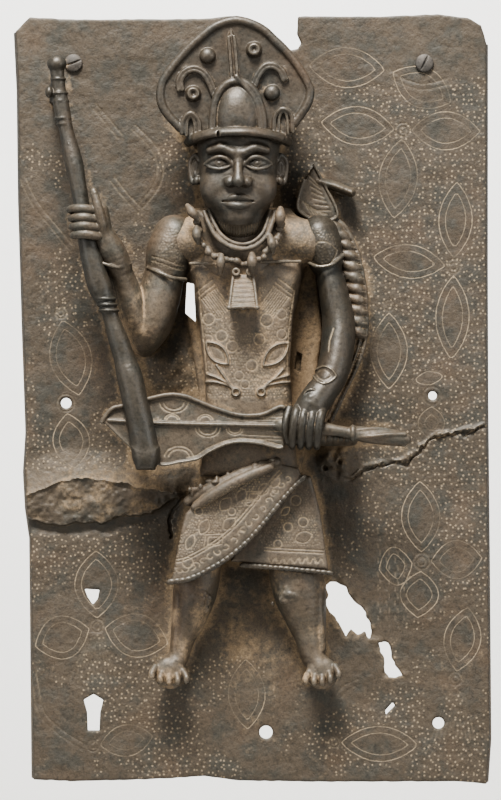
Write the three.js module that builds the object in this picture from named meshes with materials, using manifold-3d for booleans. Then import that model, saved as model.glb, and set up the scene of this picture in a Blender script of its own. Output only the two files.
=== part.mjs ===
// A cast brass relief plaque: a thin plate with two flanges bent back, a figure in high relief that holds a
// staff and a broad ceremonial sword, and the two round-headed screws that hold the plate to its post.
//
// Millimetres. X runs across the plaque, +Z up it, and the relief stands towards -Y. The origin is the centre
// of the plate's flat back face. Heights are measured from the plate's front face.

import * as THREE from "three";
import { mergeVertices } from "three/addons/utils/BufferGeometryUtils.js";
import Module from "manifold-3d";

const wasm = await Module();
wasm.setup();

// ---- driving dimensions ----

const PLATE = { thickness: 3.5, flangeDepth: 10, flangeThickness: 3, flangeFlare: 2 };
const HOLE_RADIUS = 3.2; // the four small nail holes
const SCREW_X = { left: -106.5, right: 104 };
const SCREW = { z: 201.5, headRadius: 5.5, headHeight: 2.6, shankRadius: 2.2, shankLength: 22, gap: 0.3 };
const BODY_X = -4; // the figure's middle line
const HEAD = { x: -7.5, chin: 103, brow: 145, brim: 157, halfWidth: 24.5, front: 54 };
const FAN = { back: 34, front: 43, rim: 1.6 }; // the headdress's upright shield
const STAFF_HEIGHT = 41; // height of the staff's axis
const SWORD = { back: 37, front: 44, edge: 1.3 };
const CHEST_HEIGHT = 36;
const SKIRT = { outer: 38, under: 27, cord: 1.9 };
const QUIVER_HEIGHT = 14;
const FIGURE_ROOT = 1.5; // how far the relief is sunk into the plate

const ROOTED = -6; // base height of a form that grows out of the plate, cut off again inside it
const FRONT = -PLATE.thickness; // y of the plate's front face
const TURN = 2 * Math.PI;

// ---- helpers ----

/** The point at x, z that stands a height above the plate's front face. */
const at = (x, height, z) => new THREE.Vector3(x, FRONT - height, z);

/** Six times the signed volume of an indexed mesh: positive when its faces point out. */
function signedVolume(vertices, triangles) {
  const corner = (index) => new THREE.Vector3().fromArray(vertices, 3 * index);
  let sum = 0;
  for (let i = 0; i < triangles.length; i += 3) {
    const [a, b, c] = [corner(triangles[i]), corner(triangles[i + 1]), corner(triangles[i + 2])];
    sum += a.dot(b.cross(c));
  }
  return sum;
}

/** A geometry as a solid that can be joined and cut. */
function solidOf(geometry) {
  geometry.deleteAttribute("normal");
  geometry.deleteAttribute("uv");
  const merged = mergeVertices(geometry, 1e-4);
  const vertProperties = Float32Array.from(merged.attributes.position.array);
  const triVerts = Uint32Array.from(merged.index.array);
  if (signedVolume(vertProperties, triVerts) < 0) triVerts.reverse();
  return new wasm.Manifold(new wasm.Mesh({ numProp: 3, vertProperties, triVerts }));
}

/** All the solids as one. */
const joined = (solids) => solids.reduce((whole, solid) => whole.add(solid));

/** A solid as a geometry for a THREE.Mesh. */
function geometryOf(solid) {
  const mesh = solid.getMesh();
  const geometry = new THREE.BufferGeometry();
  geometry.setAttribute("position", new THREE.BufferAttribute(Float32Array.from(mesh.vertProperties), 3));
  geometry.setIndex(new THREE.BufferAttribute(Uint32Array.from(mesh.triVerts), 1));
  geometry.computeVertexNormals();
  return geometry;
}

/** A closed outline through [x, z] points. */
const outline = (points) => new THREE.Shape(points.map(([x, z]) => new THREE.Vector2(x, z)));

/** Points on a smooth line through [x, z] points. */
function smooth(points, divisions) {
  const curve = new THREE.SplineCurve(points.map(([x, z]) => new THREE.Vector2(x, z)));
  return curve.getPoints(divisions).map((point) => [point.x, point.y]);
}

/** An outline given thickness between two heights, with rounded edges where a bevel is given. */
function slab(shape, from, to, bevel = 0) {
  const geometry = new THREE.ExtrudeGeometry(shape, {
    depth: to - from - 2 * bevel,
    curveSegments: 4,
    bevelEnabled: bevel > 0,
    bevelThickness: bevel,
    bevelSize: bevel,
    bevelOffset: -bevel,
    bevelSegments: 1,
  });
  geometry.translate(0, 0, bevel);
  geometry.rotateX(Math.PI / 2);
  geometry.translate(0, FRONT - from, 0);
  return solidOf(geometry);
}

/** A sheet with a raised border: an outline whose middle is cut away to a lower face. */
function rimmedSheet(points, from, face, rimHeight, centre, inset) {
  const middle = points.map(([x, z]) => [
    centre[0] + (x - centre[0]) * inset[0],
    centre[1] + (z - centre[1]) * inset[1],
  ]);
  return slab(outline(points), from, face + rimHeight).subtract(slab(outline(middle), face, face + 2 * rimHeight));
}

/** An ellipsoid with its centre at x, height, z. */
function ball(x, height, z, wide, deep = wide, tall = wide, segments = 8) {
  const geometry = new THREE.SphereGeometry(1, segments, Math.round(segments * 0.55));
  geometry.scale(wide, deep, tall);
  const centre = at(x, height, z);
  geometry.translate(centre.x, centre.y, centre.z);
  return solidOf(geometry);
}

/**
 * A swollen form along a curve. Each station is [x, height, z, half width, half depth], and squareness 2 gives
 * an ellipse, more a section with flat faces and round corners.
 */
function limb(stations, { sides = 8, steps = 6, squareness = 2, endPart = 0.06, endSize = 0.6 } = {}) {
  const path = new THREE.CatmullRomCurve3(stations.map(([x, height, z]) => at(x, height, z)));
  const girth = new THREE.CatmullRomCurve3(
    stations.map(([, , , wide, deep = wide]) => new THREE.Vector3(wide, deep, 0)),
  );
  const geometry = new THREE.CylinderGeometry(1, 1, 1, sides, steps);
  const position = geometry.attributes.position;
  const straighten = (value) => Math.sign(value) * Math.abs(value) ** (2 / squareness);
  for (let i = 0; i < position.count; i += 1) {
    const ring = Math.round((position.getY(i) + 0.5) * steps);
    const isEnd = ring === 0 || ring === steps;
    const inner = endPart + ((ring - 1) / (steps - 2)) * (1 - 2 * endPart);
    const along = isEnd ? ring / steps : inner;
    const size = girth.getPoint(along).multiplyScalar(isEnd ? endSize : 1);
    const tangent = path.getTangent(along);
    const across = new THREE.Vector3(0, 1, 0).cross(tangent).normalize();
    const outward = across.clone().cross(tangent);
    const point = path.getPoint(along);
    point.addScaledVector(across, straighten(position.getX(i)) * size.x);
    point.addScaledVector(outward, straighten(position.getZ(i)) * size.y);
    position.setXYZ(i, point.x, point.y, point.z);
  }
  return solidOf(geometry);
}

/** A round bar along a smooth line through [x, height, z] points. */
function bar(points, radius, { sides = 4, steps = 8 } = {}) {
  const corners = Array.from({ length: sides }, (_, i) => [
    radius * Math.cos((TURN * i) / sides),
    radius * Math.sin((TURN * i) / sides),
  ]);
  const extrudePath = new THREE.CatmullRomCurve3(points.map((point) => at(...point)));
  return solidOf(new THREE.ExtrudeGeometry(outline(corners), { steps, bevelEnabled: false, extrudePath }));
}

/** A row of round bumps along a smooth line through [x, height, z] points, as one form that swells and narrows. */
function beaded(points, count, wide, { deep = wide, waist = 0.62, sides = 6 } = {}) {
  const path = new THREE.CatmullRomCurve3(points.map((point) => new THREE.Vector3(...point)));
  const steps = 2 * count;
  const stations = Array.from({ length: steps + 1 }, (_, i) => {
    const [x, height, z] = path.getPoint(i / steps).toArray();
    const swell = i % 2 ? 1 : waist;
    return [x, height, z, wide * swell, deep * swell];
  });
  return limb(stations, { sides, steps, endPart: 1 / steps, endSize: 1 });
}

/** A sheet from left to right: `place` gives the height and z of each corner, at the base and at the face. */
function sheetBetween(left, right, columns, place) {
  const geometry = new THREE.BoxGeometry(1, 1, 1, columns, 1, 1);
  const position = geometry.attributes.position;
  for (let i = 0; i < position.count; i += 1) {
    const x = THREE.MathUtils.lerp(left, right, position.getX(i) + 0.5);
    const { height, z } = place(x, position.getY(i) < 0, position.getZ(i) > 0);
    const point = at(x, height, z);
    position.setXYZ(i, point.x, point.y, point.z);
  }
  return solidOf(geometry);
}

// ---- the plate ----

const LEFT_EDGE = [
  [-130.8, -228.6], [-131.6, -150], [-132.2, -84], [-134.8, -66], [-136, -44], [-134.5, -20], [-136.6, 39],
  [-139, 120], [-139.8, 186], [-141.5, 221],
];
const RIGHT_EDGE = [[141.4, 214], [141.3, 80], [141.6, 0], [142.6, -100], [143.4, -205], [141.6, -231.2]];

/** The plate's outline, with its uneven top and the piece that is broken out beside the headdress. */
function plateOutline() {
  const topLeft = [[-133, 229.4], [-105, 228], [-59, 228.4], [-28, 228.6], [-11, 230.4], [-6, 228]];
  const brokenOut = [[-2, 219], [6, 212], [14, 208], [28, 210.5], [29.8, 213.6], [27.2, 219], [27.8, 230]];
  const topRight = [[80, 230], [111.6, 231.3], [130.2, 229.1], [138.5, 224.5]];
  const foot = [[122, -229.8], [39, -230.2], [-7, -229.4], [-28, -226.8], [-60, -228.6], [-109, -229.8]];
  return outline([...LEFT_EDGE, ...topLeft, ...brokenOut, ...topRight, ...RIGHT_EDGE, ...foot].reverse());
}

/** The nail holes, the keyhole and the torn holes. */
function plateHoles() {
  const round = ([x, z, radius]) => new THREE.Path().absarc(x, z, radius, 0, TURN, true);
  const torn = (points) => new THREE.Path(points.map(([x, z]) => new THREE.Vector2(x, z)));
  const nailHoles = [[-111, -2.5], [109, 2], [9, -200], [112.5, -194.5]].map(([x, z]) => [x, z, HOLE_RADIUS]);
  const screwHoles = Object.values(SCREW_X).map((x) => [x, SCREW.z, SCREW.shankRadius + 0.6]);
  const keyhole = [[-98, -199], [-91, -199], [-90.5, -188], [-88.6, -180.5], [-94.5, -177], [-100.5, -180.5],
    [-98.4, -188]];
  const lossByLeg = [[47.5, -109.5], [57, -113], [60, -119], [68.5, -128], [72.5, -137], [71, -143.5], [57, -142],
    [51, -131.5], [44.5, -121.5], [45, -112.5]];
  const lowerSlit = [[75.8, -145.5], [82.5, -146.5], [86, -159.5], [92, -166.5], [82.5, -167.5], [79.5, -155.5]];
  const tornSpot = [[-100, -114], [-91, -114.5], [-92, -120], [-95, -123.5], [-98, -119]];
  const smallLoss = [[81, -189.5], [86.5, -184], [85, -182], [80.5, -187]];
  const besideBody = [[-38.5, 70], [-34, 69], [-33, 46], [-39.5, 51.5]];
  const underArm = [[27.5, 28], [30.5, 26.5], [29.5, 16], [26, 18]];
  const polygons = [keyhole, lossByLeg, lowerSlit, tornSpot, smallLoss, besideBody, underArm];
  return { inPlate: [...nailHoles, ...screwHoles].map(round).concat(polygons.map(torn)), throughAll: [
    besideBody, underArm] };
}

/** One side flange: a strip along the plate's edge that is bent back and leans outward. */
function flange(edge, side) {
  const inner = edge.map(([x, z]) => [x - side * PLATE.flangeThickness, z]).reverse();
  const shape = outline([...edge, ...inner]);
  const geometry = new THREE.ExtrudeGeometry(shape, { depth: PLATE.flangeDepth + 1, bevelEnabled: false });
  geometry.rotateX(Math.PI / 2);
  geometry.translate(0, PLATE.flangeDepth, 0);
  const position = geometry.attributes.position;
  for (let i = 0; i < position.count; i += 1) {
    const back = Math.max(0, position.getY(i)) / PLATE.flangeDepth;
    position.setX(i, position.getX(i) + side * PLATE.flangeFlare * back);
  }
  return solidOf(geometry);
}

/** The folded, overhanging band where the plate is torn across on the left. */
function tornBand() {
  const lower = new THREE.SplineCurve([
    new THREE.Vector2(-135, -73), new THREE.Vector2(-107, -74), new THREE.Vector2(-90, -76),
    new THREE.Vector2(-73, -70), new THREE.Vector2(-40, -60),
  ]);
  const [left, right] = [-135, -40];
  return sheetBetween(left, right, 8, (x, isBase, isTop) => {
    const along = (x - left) / (right - left);
    const edge = lower.getPoint(along).y;
    const rise = 7.5 - 3 * along;
    if (isTop) return { height: isBase ? -FIGURE_ROOT : 0.4, z: -48 + 3 * Math.sin(5 * along) };
    return { height: isBase ? -FIGURE_ROOT : rise, z: isBase ? edge + 3 : edge };
  });
}

/** The ragged lip of the crack on the right. */
function crackLip() {
  const line = [[60, 0, -46], [79, 0.6, -40], [94, 0.6, -37.5], [104, 0.6, -29], [110, 0.6, -21.5],
    [122, 0.6, -21.5], [140, 0, -17.5]];
  return bar(line, 2.4, { steps: 10 });
}

/** The cast-on patch between the sword's handle and the skirt. */
const roughPatch = () => ball(51, 0, -34, 11, 7, 13, 8);

// ---- the head and its headdress ----

/** The two sides of the fan's outline, each as [x, z] points: the left one up, the right one down. */
function fanOutline() {
  const left = [[-36, 152], [-42, 160], [-48, 166.5], [-52, 172.5], [-53.5, 179], [-52.5, 186], [-48.5, 193],
    [-43.5, 199.5], [-36.5, 207], [-30, 213], [-22.5, 219], [-14, 222.6]];
  const right = [[-5.5, 223], [6, 218.5], [14, 211.5], [21.5, 204], [27.5, 196.5], [32.5, 188], [34.8, 182],
    [34, 176], [31, 170], [26, 163], [21.5, 152]];
  return { left, right };
}

/** The upright fan with its rolled rim, ribs, hooks and bosses, and the cap that it stands on. */
function headdress() {
  const { left, right } = fanOutline();
  const ribHeight = FAN.front + 0.6;
  const line = (points, lift = 0) => points.map(([x, z]) => [x, ribHeight + lift, z]);
  const hookLeft = [[-22, 179.5], [-25.5, 188.5], [-29.5, 193], [-34.5, 194.5], [-40, 192], [-42, 186.5],
    [-41, 182]];
  const hookRight = [[0.5, 184], [3, 190], [7.5, 195], [13, 196], [18, 192.5], [19.5, 188]];
  const arch = [[-23, 161], [-22.5, 172], [-20, 180.5], [-14.5, 186], [-8, 187.2], [-1, 184.5], [4, 178],
    [6.5, 170], [7, 161]];
  const bosses = [[-25.5, 202], [1.5, 205.5], [-34, 179], [12, 179.5]];
  const smallArches = [[-35, 160, 168], [18.5, 160, 169.5]].map(([x, foot, crown]) => (
    bar(line([[x - 4, foot], [x - 3, crown - 2], [x, crown], [x + 3, crown - 2], [x + 4, foot]]), 1.4,
      { steps: 4 })));
  const core = outline(smooth([[-34, 150], [-44, 170], [-42, 188], [-24, 203], [-9, 206], [4, 203], [20, 192],
    [25, 172], [17, 150]], 8));
  return [
    rimmedSheet([...left, ...right], FAN.back, FAN.front, FAN.rim, [-9, 176], [0.91, 0.92]),
    slab(core, ROOTED, FAN.back + 2),
    bar(line([[-10.7, 217], [-9.6, 202], [-8.4, 187]], 0.8), 2.6, { steps: 3 }),
    bar(line(arch, 1.4), 1.9),
    ball(-7.5, FAN.front - 2, 166, 14, 10, 20),
    bar(line(hookLeft), 1.7, { steps: 6 }),
    bar(line(hookRight), 1.7, { steps: 6 }),
    ...bosses.map(([x, z]) => ball(x, FAN.front, z, 4.6, 3.6, 4.6, 6)),
    ...smallArches,
  ];
}

/** A calm, general face: brow, eyes, nose, lips, chin and ears on an egg-shaped head. */
function head() {
  const { x, chin, brow, brim, halfWidth, front } = HEAD;
  const eyeLine = brow - 6;
  const noseFoot = chin + 21;
  const mouth = chin + 13.5;
  const skull = limb([
    [x, 33, chin - 1, 9, 15], [x, 33, chin + 7, 15, 19], [x, 33, chin + 18, 20, 20.5],
    [x, 33, eyeLine - 3, halfWidth - 1, 20.5], [x, 33, brow + 3, halfWidth, 20.5], [x, 32, brim + 4, halfWidth, 20],
  ], { sides: 10, steps: 7, endSize: 0.75, squareness: 2.3 });
  const nose = limb([
    [x, front - 1, brow - 1, 2.6, 2.5], [x, front + 2.5, brow - 10, 3, 3.5], [x, front + 4.5, noseFoot + 3, 4.2, 4],
    [x, front + 2.5, noseFoot - 0.5, 3, 2.5],
  ], { sides: 6, steps: 4 });
  const wings = [-1, 1].map((side) => ball(x + side * 4.4, front + 1, noseFoot + 2.2, 2.6, 3.2, 2.6, 6));
  const lips = [[1.7, 2.2], [-1.9, 2.3]].map(([rise, thick]) => (
    ball(x, front - 1.4, mouth + rise, 8.6, 4.4, thick, 7)));
  const eyes = [-1, 1].map((side) => ball(x + side * 10.5, front - 5, eyeLine, 6.6, 5.2, 3.6, 7));
  const brows = [-1, 1].map((side) => bar([
    [x + side * 3, front - 1.5, brow - 1], [x + side * 10, front - 1.8, brow + 2],
    [x + side * 18, front - 7.5, brow - 0.5],
  ], 1.7, { sides: 4, steps: 3 }));
  const ears = [-1, 1].map((side) => ball(x + side * (halfWidth + 1), 30, eyeLine - 3, 3.6, 7, 8.5, 7));
  return [skull, nose, ...wings, ...lips, ...eyes, ...brows, ...ears];
}

/** The cap's brim, which juts over the forehead from ear to ear. */
function brim() {
  const reach = HEAD.halfWidth + 5;
  const stations = [-1, -0.8, -0.5, 0, 0.5, 0.8, 1].map((part) => {
    const forward = Math.sqrt(1 - 0.92 * part * part);
    return [HEAD.x + reach * part, 28 + 27 * forward, HEAD.brim - 7 + 7 * forward, 3.6, 4.2];
  });
  return limb(stations, { sides: 6, steps: 8 });
}

/** The neck, the doubled collar and the chain of beads and teeth. */
function collar() {
  const ring = (reach, low, top, height) => [-1, -0.75, -0.4, 0, 0.4, 0.75, 1].map((part) => (
    [HEAD.x + reach * part, height - 12 * part * part, low + (top - low) * part * part]));
  const teeth = [[-34, 107, -1], [-30, 94, -0.8], [-18, 81, -0.4], [2, 80, 0.4], [13.5, 92, 0.8], [18, 106, 1]];
  return [
    limb([[HEAD.x, 20, 84, 25, 24], [HEAD.x, 22, 96, 17, 25], [HEAD.x, 26, 110, 13, 22]], { sides: 10, steps: 3 }),
    bar(ring(19.5, 86.5, 101, 43.5), 3.6, { steps: 7 }),
    beaded(ring(24, 79, 108, 43), 9, 4, { sides: 5 }),
    ...teeth.map(([x, z, lean]) => limb([
      [x, 42 - 10 * lean * lean, z + 4, 2.9], [x + 0.8 * lean, 44 - 10 * lean * lean, z, 2.5],
      [x + 1.4 * lean, 43 - 10 * lean * lean, z - 5, 1],
    ], { sides: 4, steps: 3 })),
  ];
}

/** The square bell that hangs at the chest. */
function bell() {
  const [crown, mouth, x] = [75, 54, -4.5];
  return [
    limb([[x, 42, crown, 5.4, 5], [x, 42.5, (crown + mouth) / 2, 6.6, 6.6], [x, 43, mouth, 8.4, 8]],
      { sides: 8, steps: 3, squareness: 5, endSize: 0.96, endPart: 0.02 }),
    bar([[x - 3, 43, crown - 1], [x - 2.6, 44, crown + 5], [x, 44.5, crown + 7], [x + 2.6, 44, crown + 5],
      [x + 3, 43, crown - 1]], 1.4, { sides: 5, steps: 8 }),
  ];
}

// ---- the body and arms ----

/** The tunic's flat-fronted body, the shoulders, and the low web between body and arms. */
function torso() {
  const deep = CHEST_HEIGHT - 12;
  const webs = outline([[-44, 84], [-31, 0], [-30, -42], [30, -44], [38, 4], [43, 40], [38, 92]]);
  return [
    limb([[BODY_X, 12, -46, 27, deep - 2], [BODY_X + 2, 12, 0, 25.5, deep], [BODY_X, 12, 44, 28, deep],
      [BODY_X, 12, 78, 33.5, deep], [BODY_X - 1, 10, 92, 37, deep - 3], [BODY_X - 2, 8, 103, 26, deep - 6]],
    { sides: 12, steps: 6, squareness: 3.6, endSize: 0.9 }),
    limb([[-54, 14, 84, 8, 12], [-44, 17, 92, 13, 15], [-24, 18, 95, 14, 16], [14, 18, 95, 14, 16],
      [34, 17, 93, 13, 15], [47, 14, 84, 8, 12]], { steps: 7 }),
    slab(webs, ROOTED, 7),
  ];
}

/** The bent arm that lifts the staff, with its sleeve and cuff. */
function staffArm() {
  return [
    limb([[-47, 18, 96, 14, 14], [-49, 19, 86, 14, 14], [-50, 18, 76, 12, 12.5]], { steps: 3 }),
    limb([[-50, 16, 84, 11, 13], [-54, 17, 64, 13, 15], [-58, 17, 48, 12.5, 16], [-62, 16, 36, 9, 14],
      [-64, 13, 27, 5, 9]]),
    limb([[-64, 15, 32, 8, 13], [-69, 20, 48, 9, 14], [-75, 27, 66, 8.5, 12], [-81, 35, 83, 8, 10],
      [-86, 40, 95, 7.5, 8]]),
    limb([[-79.5, 34, 79, 7.5, 9.5], [-82.5, 37, 87, 8, 9.5], [-85.5, 40, 94, 6.5, 8]],
      { steps: 3, squareness: 2.6, endSize: 0.95 }),
  ];
}

/** The hand closed round the staff: four fingers across it, and the thumb up beside it. */
function staffHand() {
  const fingers = Array.from({ length: 4 }, (_, i) => {
    const z = 111 - 5 * i;
    const x = -98.6 + 0.5 * i;
    return limb([[x + 9, 40, z - 1, 2.5], [x + 6, 47.5, z, 2.6], [x - 1, 49.5, z + 0.5, 2.7],
      [x - 7, 46.5, z + 0.3, 2.6], [x - 8.5, 41, z, 2.3]], { sides: 6, steps: 5 });
  });
  return [
    ...fingers,
    limb([[-86, 40, 94, 6, 7], [-88, 42, 103, 5.5, 7.5], [-89.5, 43, 112, 4, 6]], { steps: 3 }),
    limb([[-88, 47, 100, 2.8, 3], [-90.5, 49, 112, 2.6, 2.8], [-93, 47, 122.5, 2, 2.2]], { sides: 6, steps: 3 }),
  ];
}

/** The staff with its knob, rings, swelling shaft and open foot, and the rib that joins it to the plate. */
function staff() {
  const h = STAFF_HEIGHT;
  const shaft = limb([
    [-115, h - 8, 196, 4.2], [-114, h - 8, 185, 4.2], [-112, h - 7, 171, 4.8], [-109, h - 6, 157.5, 4.2],
    [-105, h - 4, 141, 5.5], [-102.3, h - 2, 127, 4.9], [-98.3, h, 106, 5], [-95.5, h + 1, 89.5, 6],
    [-89.5, h + 2, 67, 6.8], [-84.8, h + 2, 55, 4.8], [-82, h + 2, 46.5, 4.9], [-78.3, h + 2, 35.5, 5.8],
    [-74, h + 2, 22, 6.6], [-71.5, h + 3, 13, 7.5], [-68.7, h + 4, 0, 7.6], [-65.3, h + 4, -14.5, 7.9],
    [-62.3, h + 4, -29, 8.1], [-61.6, h + 4, -41, 9],
  ], { sides: 8, steps: 17, endPart: 0.01, endSize: 0.85 });
  const rings = [[-114.2, h - 8, 180, 5.6], [-111.6, h - 7, 165.5, 5.4], [-85.5, h + 2, 58, 6.2],
    [-83.8, h + 2, 52.5, 6]];
  const struts = [[-116.5, 181], [-66, -24]].map(([x, z]) => (
    slab(outline([[x - 3, z - 5], [x + 3, z - 5], [x + 3, z + 5], [x - 3, z + 5]]), ROOTED, h - 8)));
  return [
    shaft,
    ball(-115, h - 8, 197.5, 5.6),
    ...rings.map(([x, height, z, radius]) => ball(x, height, z, radius, radius, 2.4, 6)),
    ...struts,
  ];
}

/** The broad sword: a flaring blade with a raised border and a midrib, and a handle with a fluted pommel. */
function sword() {
  const upper = smooth([[-87.5, -12.5], [-82, -4.8], [-76, -3.2], [-60, 1], [-48.5, 3.4], [-39, 2.5], [-30, -1],
    [-19, -5.2], [-7, -8.6], [6, -8.4], [17, -3.6]], 12);
  const lower = smooth([[20, -30.5], [6, -27.4], [-5, -26], [-14, -27.2], [-24, -31.5], [-31.5, -36],
    [-42, -38], [-54, -39.2], [-69, -30]], 9);
  const border = [...lower, ...upper];
  const { back, front, edge } = SWORD;
  const web = outline([[-62, -8], [26, -10], [28, -26], [-60, -26]]);
  return [
    rimmedSheet(border, back, front, edge, [-30, -17], [0.93, 0.84]),
    bar([[-83, front + 0.2, -13], [-50, front + 0.6, -14.5], [20, front + 0.8, -16]], 1.3, { steps: 2 }),
    slab(web, 20, back + 1),
    limb([[18, 42, -15, 5, 5], [44, 43, -17.5, 4.4, 4.6], [60, 42, -20.5, 4, 4.4], [76, 41, -22.5, 5, 5],
      [91, 40, -23.5, 4, 3]], { sides: 7 }),
    limb([[30, 20, -20, 8, 22], [46, 18, -22, 6, 22], [60, 12, -24, 4, 26]], { sides: 6, steps: 3 }),
  ];
}

/** The straight arm, its sleeve, and the hand closed over the sword's handle. */
function swordArm() {
  const fingers = Array.from({ length: 4 }, (_, i) => {
    const x = 24.5 + 5 * i;
    return limb([[x + 2, 44, -5 - 0.3 * i, 2.7], [x + 0.8, 50, -11, 2.9], [x, 51, -19, 2.8],
      [x - 0.6, 47, -27 + 0.8 * i, 2.6], [x - 0.6, 42, -29 + 0.8 * i, 2.2]], { sides: 6, steps: 5 });
  });
  return [
    limb([[41, 17, 98, 12, 14], [43.5, 18, 90, 10.5, 14.5], [44.5, 17, 82, 9.5, 13.5]], { steps: 3 }),
    limb([[45, 15, 84, 7.5, 12], [48.5, 17, 66, 8.5, 14], [52, 19, 48, 9.7, 15], [51.6, 24, 32, 10.2, 15],
      [48, 31, 15, 10, 13], [40.5, 38, 1, 9.2, 10]]),
    limb([[40.5, 38, 3, 10, 10.5], [36, 42, -4, 10.5, 10], [33, 42, -14, 10.5, 8]],
      { steps: 3, squareness: 2.6 }),
    ...fingers,
    ball(35, 47, 0.5, 2.6, 3, 2.6, 6),
  ];
}

/** The ribbed, curved quiver behind the arm, with the striped leaf and the peg above it. */
function quiver() {
  const outer = smooth([[40, 106], [52, 106.5], [58, 101], [62, 93], [65.5, 83], [68.5, 66], [69.5, 50], [68.5, 34],
    [63.5, 19], [57, 5], [48, -14]], 13);
  const body = outline([...outer, [36, -10], [44, 20], [46, 60], [38, 90]]);
  const spine = [[45, 104], [53.5, 98], [58.5, 82], [61.5, 66], [63, 50], [63, 36]];
  const leaf = outline([[37.5, 139.5], [43, 129], [51.5, 110], [40, 106], [29, 112], [28.5, 120], [32, 131]]);
  return [
    slab(body, ROOTED, QUIVER_HEIGHT),
    bar(outer.map(([x, z]) => [x - 1.2, QUIVER_HEIGHT - 0.4, z]), 1.5, { steps: 10 }),
    beaded(spine.map(([x, z]) => [x, QUIVER_HEIGHT - 0.5, z]), 10, 5.4, { deep: 4, waist: 0.7, sides: 5 }),
    slab(leaf, ROOTED, 17, 1.5),
    limb([[41, 8, 129.5, 3, 9], [50, 9, 127, 3, 9], [60, 10, 123.5, 3, 9]], { sides: 6, steps: 3 }),
  ];
}

// ---- the skirt, legs and feet ----

/** The wrapped skirt: the outer flap with its corded hem, its rolled belt, and the flap beneath. */
function skirt() {
  const hem = smooth([[-47, -108], [-37, -106.5], [-26, -101.5], [-14.5, -94.5], [-3, -85], [6.5, -74.5],
    [15.5, -63.5], [23, -54.5], [30.5, -47]], 10);
  const flap = outline([...hem, [28, -41], [8, -36], [-12, -44], [-30, -58], [-39, -68]]);
  const underHem = [[-6, -98.5], [16, -100.5], [46.5, -103.5]];
  const under = outline([[-12, -97.5], ...underHem, [44, -88], [41, -66.5], [35.5, -46], [0, -46]]);
  const { outer, under: low, cord } = SKIRT;
  return [
    slab(under, ROOTED, low, 1.5),
    bar(underHem.map(([x, z]) => [x, low - 1.6, z + 1]), cord, { steps: 3 }),
    slab(flap, ROOTED, outer - 3, 1),
    bar(hem.map(([x, z]) => [x, outer - 3.6, z]), cord),
    bar([[9, outer - 2, -40.5], [-8, outer, -48.5], [-22, outer - 1, -56.5], [-33, outer - 5, -64]], 3,
      { steps: 5 }),
    bar([[14, outer - 6, -37], [-6, outer - 3, -43], [-24, outer - 5, -52]], 4, { steps: 4 }),
  ];
}

/** A foot turned outward, with a row of five toes. */
function foot(ankle, toesFrom, toesTo, height) {
  const middle = [(toesFrom[0] + toesTo[0]) / 2, (toesFrom[1] + toesTo[1]) / 2];
  return [
    limb([[ankle[0], 8, ankle[1] + 5, 5, 9], [middle[0] * 0.8 + ankle[0] * 0.2, 13, ankle[1] - 3, 8.5, 11],
      [middle[0], height - 4, middle[1], 11, 6.5]], { steps: 4, endPart: 0.1, endSize: 0.95 }),
    beaded([[toesFrom[0], height, toesFrom[1]], [middle[0], height, middle[1] - 2.2], [toesTo[0], height, toesTo[1]]],
      5, 4.4, { deep: 4, sides: 5 }),
  ];
}

/** The two legs, which swell at the knee and calf, and the feet. */
function legs() {
  return [
    limb([[-31, 8, -92, 14, 14], [-32.5, 9, -112, 13.2, 14], [-35.5, 8, -128, 10, 13], [-40, 7, -143, 6.8, 11],
      [-42.5, 7, -156, 4.8, 9]]),
    ball(-31, 13, -117, 8.5, 9, 10),
    limb([[26, 8, -92, 16, 14], [27.8, 9, -110, 16, 14.5], [30.5, 8, -124, 13.2, 13.5], [34, 7, -139, 9.5, 11],
      [36.8, 7, -155, 6.6, 9]]),
    ball(25, 13, -115, 9.5, 9, 11),
    ...foot([-42.5, -156], [-59.5, -164.5], [-38.5, -166.5], 20),
    ...foot([37, -156], [32.5, -167.5], [52, -164], 20),
  ];
}

// ---- the whole casting and its screws ----

/** The plate and the figure as the one casting that they are. */
function casting() {
  const shape = plateOutline();
  const holes = plateHoles();
  shape.holes.push(...holes.inPlate);
  const plate = slab(shape, -PLATE.thickness, 0);
  const figure = joined([
    ...headdress(), ...head(), brim(), ...collar(), ...bell(), ...torso(), ...staffArm(), ...staffHand(),
    ...staff(), ...sword(), ...swordArm(), ...quiver(), ...skirt(), ...legs(), tornBand(), crackLip(), roughPatch(),
  ]);
  const frontSpace = new THREE.BoxGeometry(400, 100, 600);
  frontSpace.translate(0, FRONT + FIGURE_ROOT - 50, 0);
  const openings = joined(holes.throughAll.map((points) => slab(outline(points), -PLATE.thickness - 1, 40)));
  return figure
    .intersect(solidOf(frontSpace))
    .add(plate)
    .subtract(openings)
    .add(flange(LEFT_EDGE, -1))
    .add(flange([...RIGHT_EDGE].reverse(), 1));
}

/** A screw through a corner hole: a low round head in front and a plain shank behind, turned as one. */
function screw(x) {
  const { z, headRadius, headHeight, shankRadius, shankLength, gap } = SCREW;
  const crown = headHeight * 0.45;
  const profile = [[0, 0], [headRadius, 0], [headRadius, headHeight - crown], [headRadius * 0.8, headHeight - 0.3],
    [0, headHeight], [0, 0]];
  const headTurned = new THREE.LatheGeometry(profile.map(([r, y]) => new THREE.Vector2(r, y)), 20);
  const shank = new THREE.CylinderGeometry(shankRadius, shankRadius * 0.7, shankLength, 12);
  shank.translate(0, 1 - shankLength / 2, 0);
  const geometry = geometryOf(solidOf(headTurned).add(solidOf(shank)));
  geometry.rotateX(Math.PI);
  geometry.translate(x, FRONT - gap, z);
  return geometry;
}

const brass = new THREE.MeshStandardMaterial({ color: 0x6f6250, metalness: 0.6, roughness: 0.55 });
const screwBrass = new THREE.MeshStandardMaterial({ color: 0x57504a, metalness: 0.7, roughness: 0.5 });

const plaque = new THREE.Mesh(geometryOf(casting()), brass);
plaque.name = "plaque";

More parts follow.
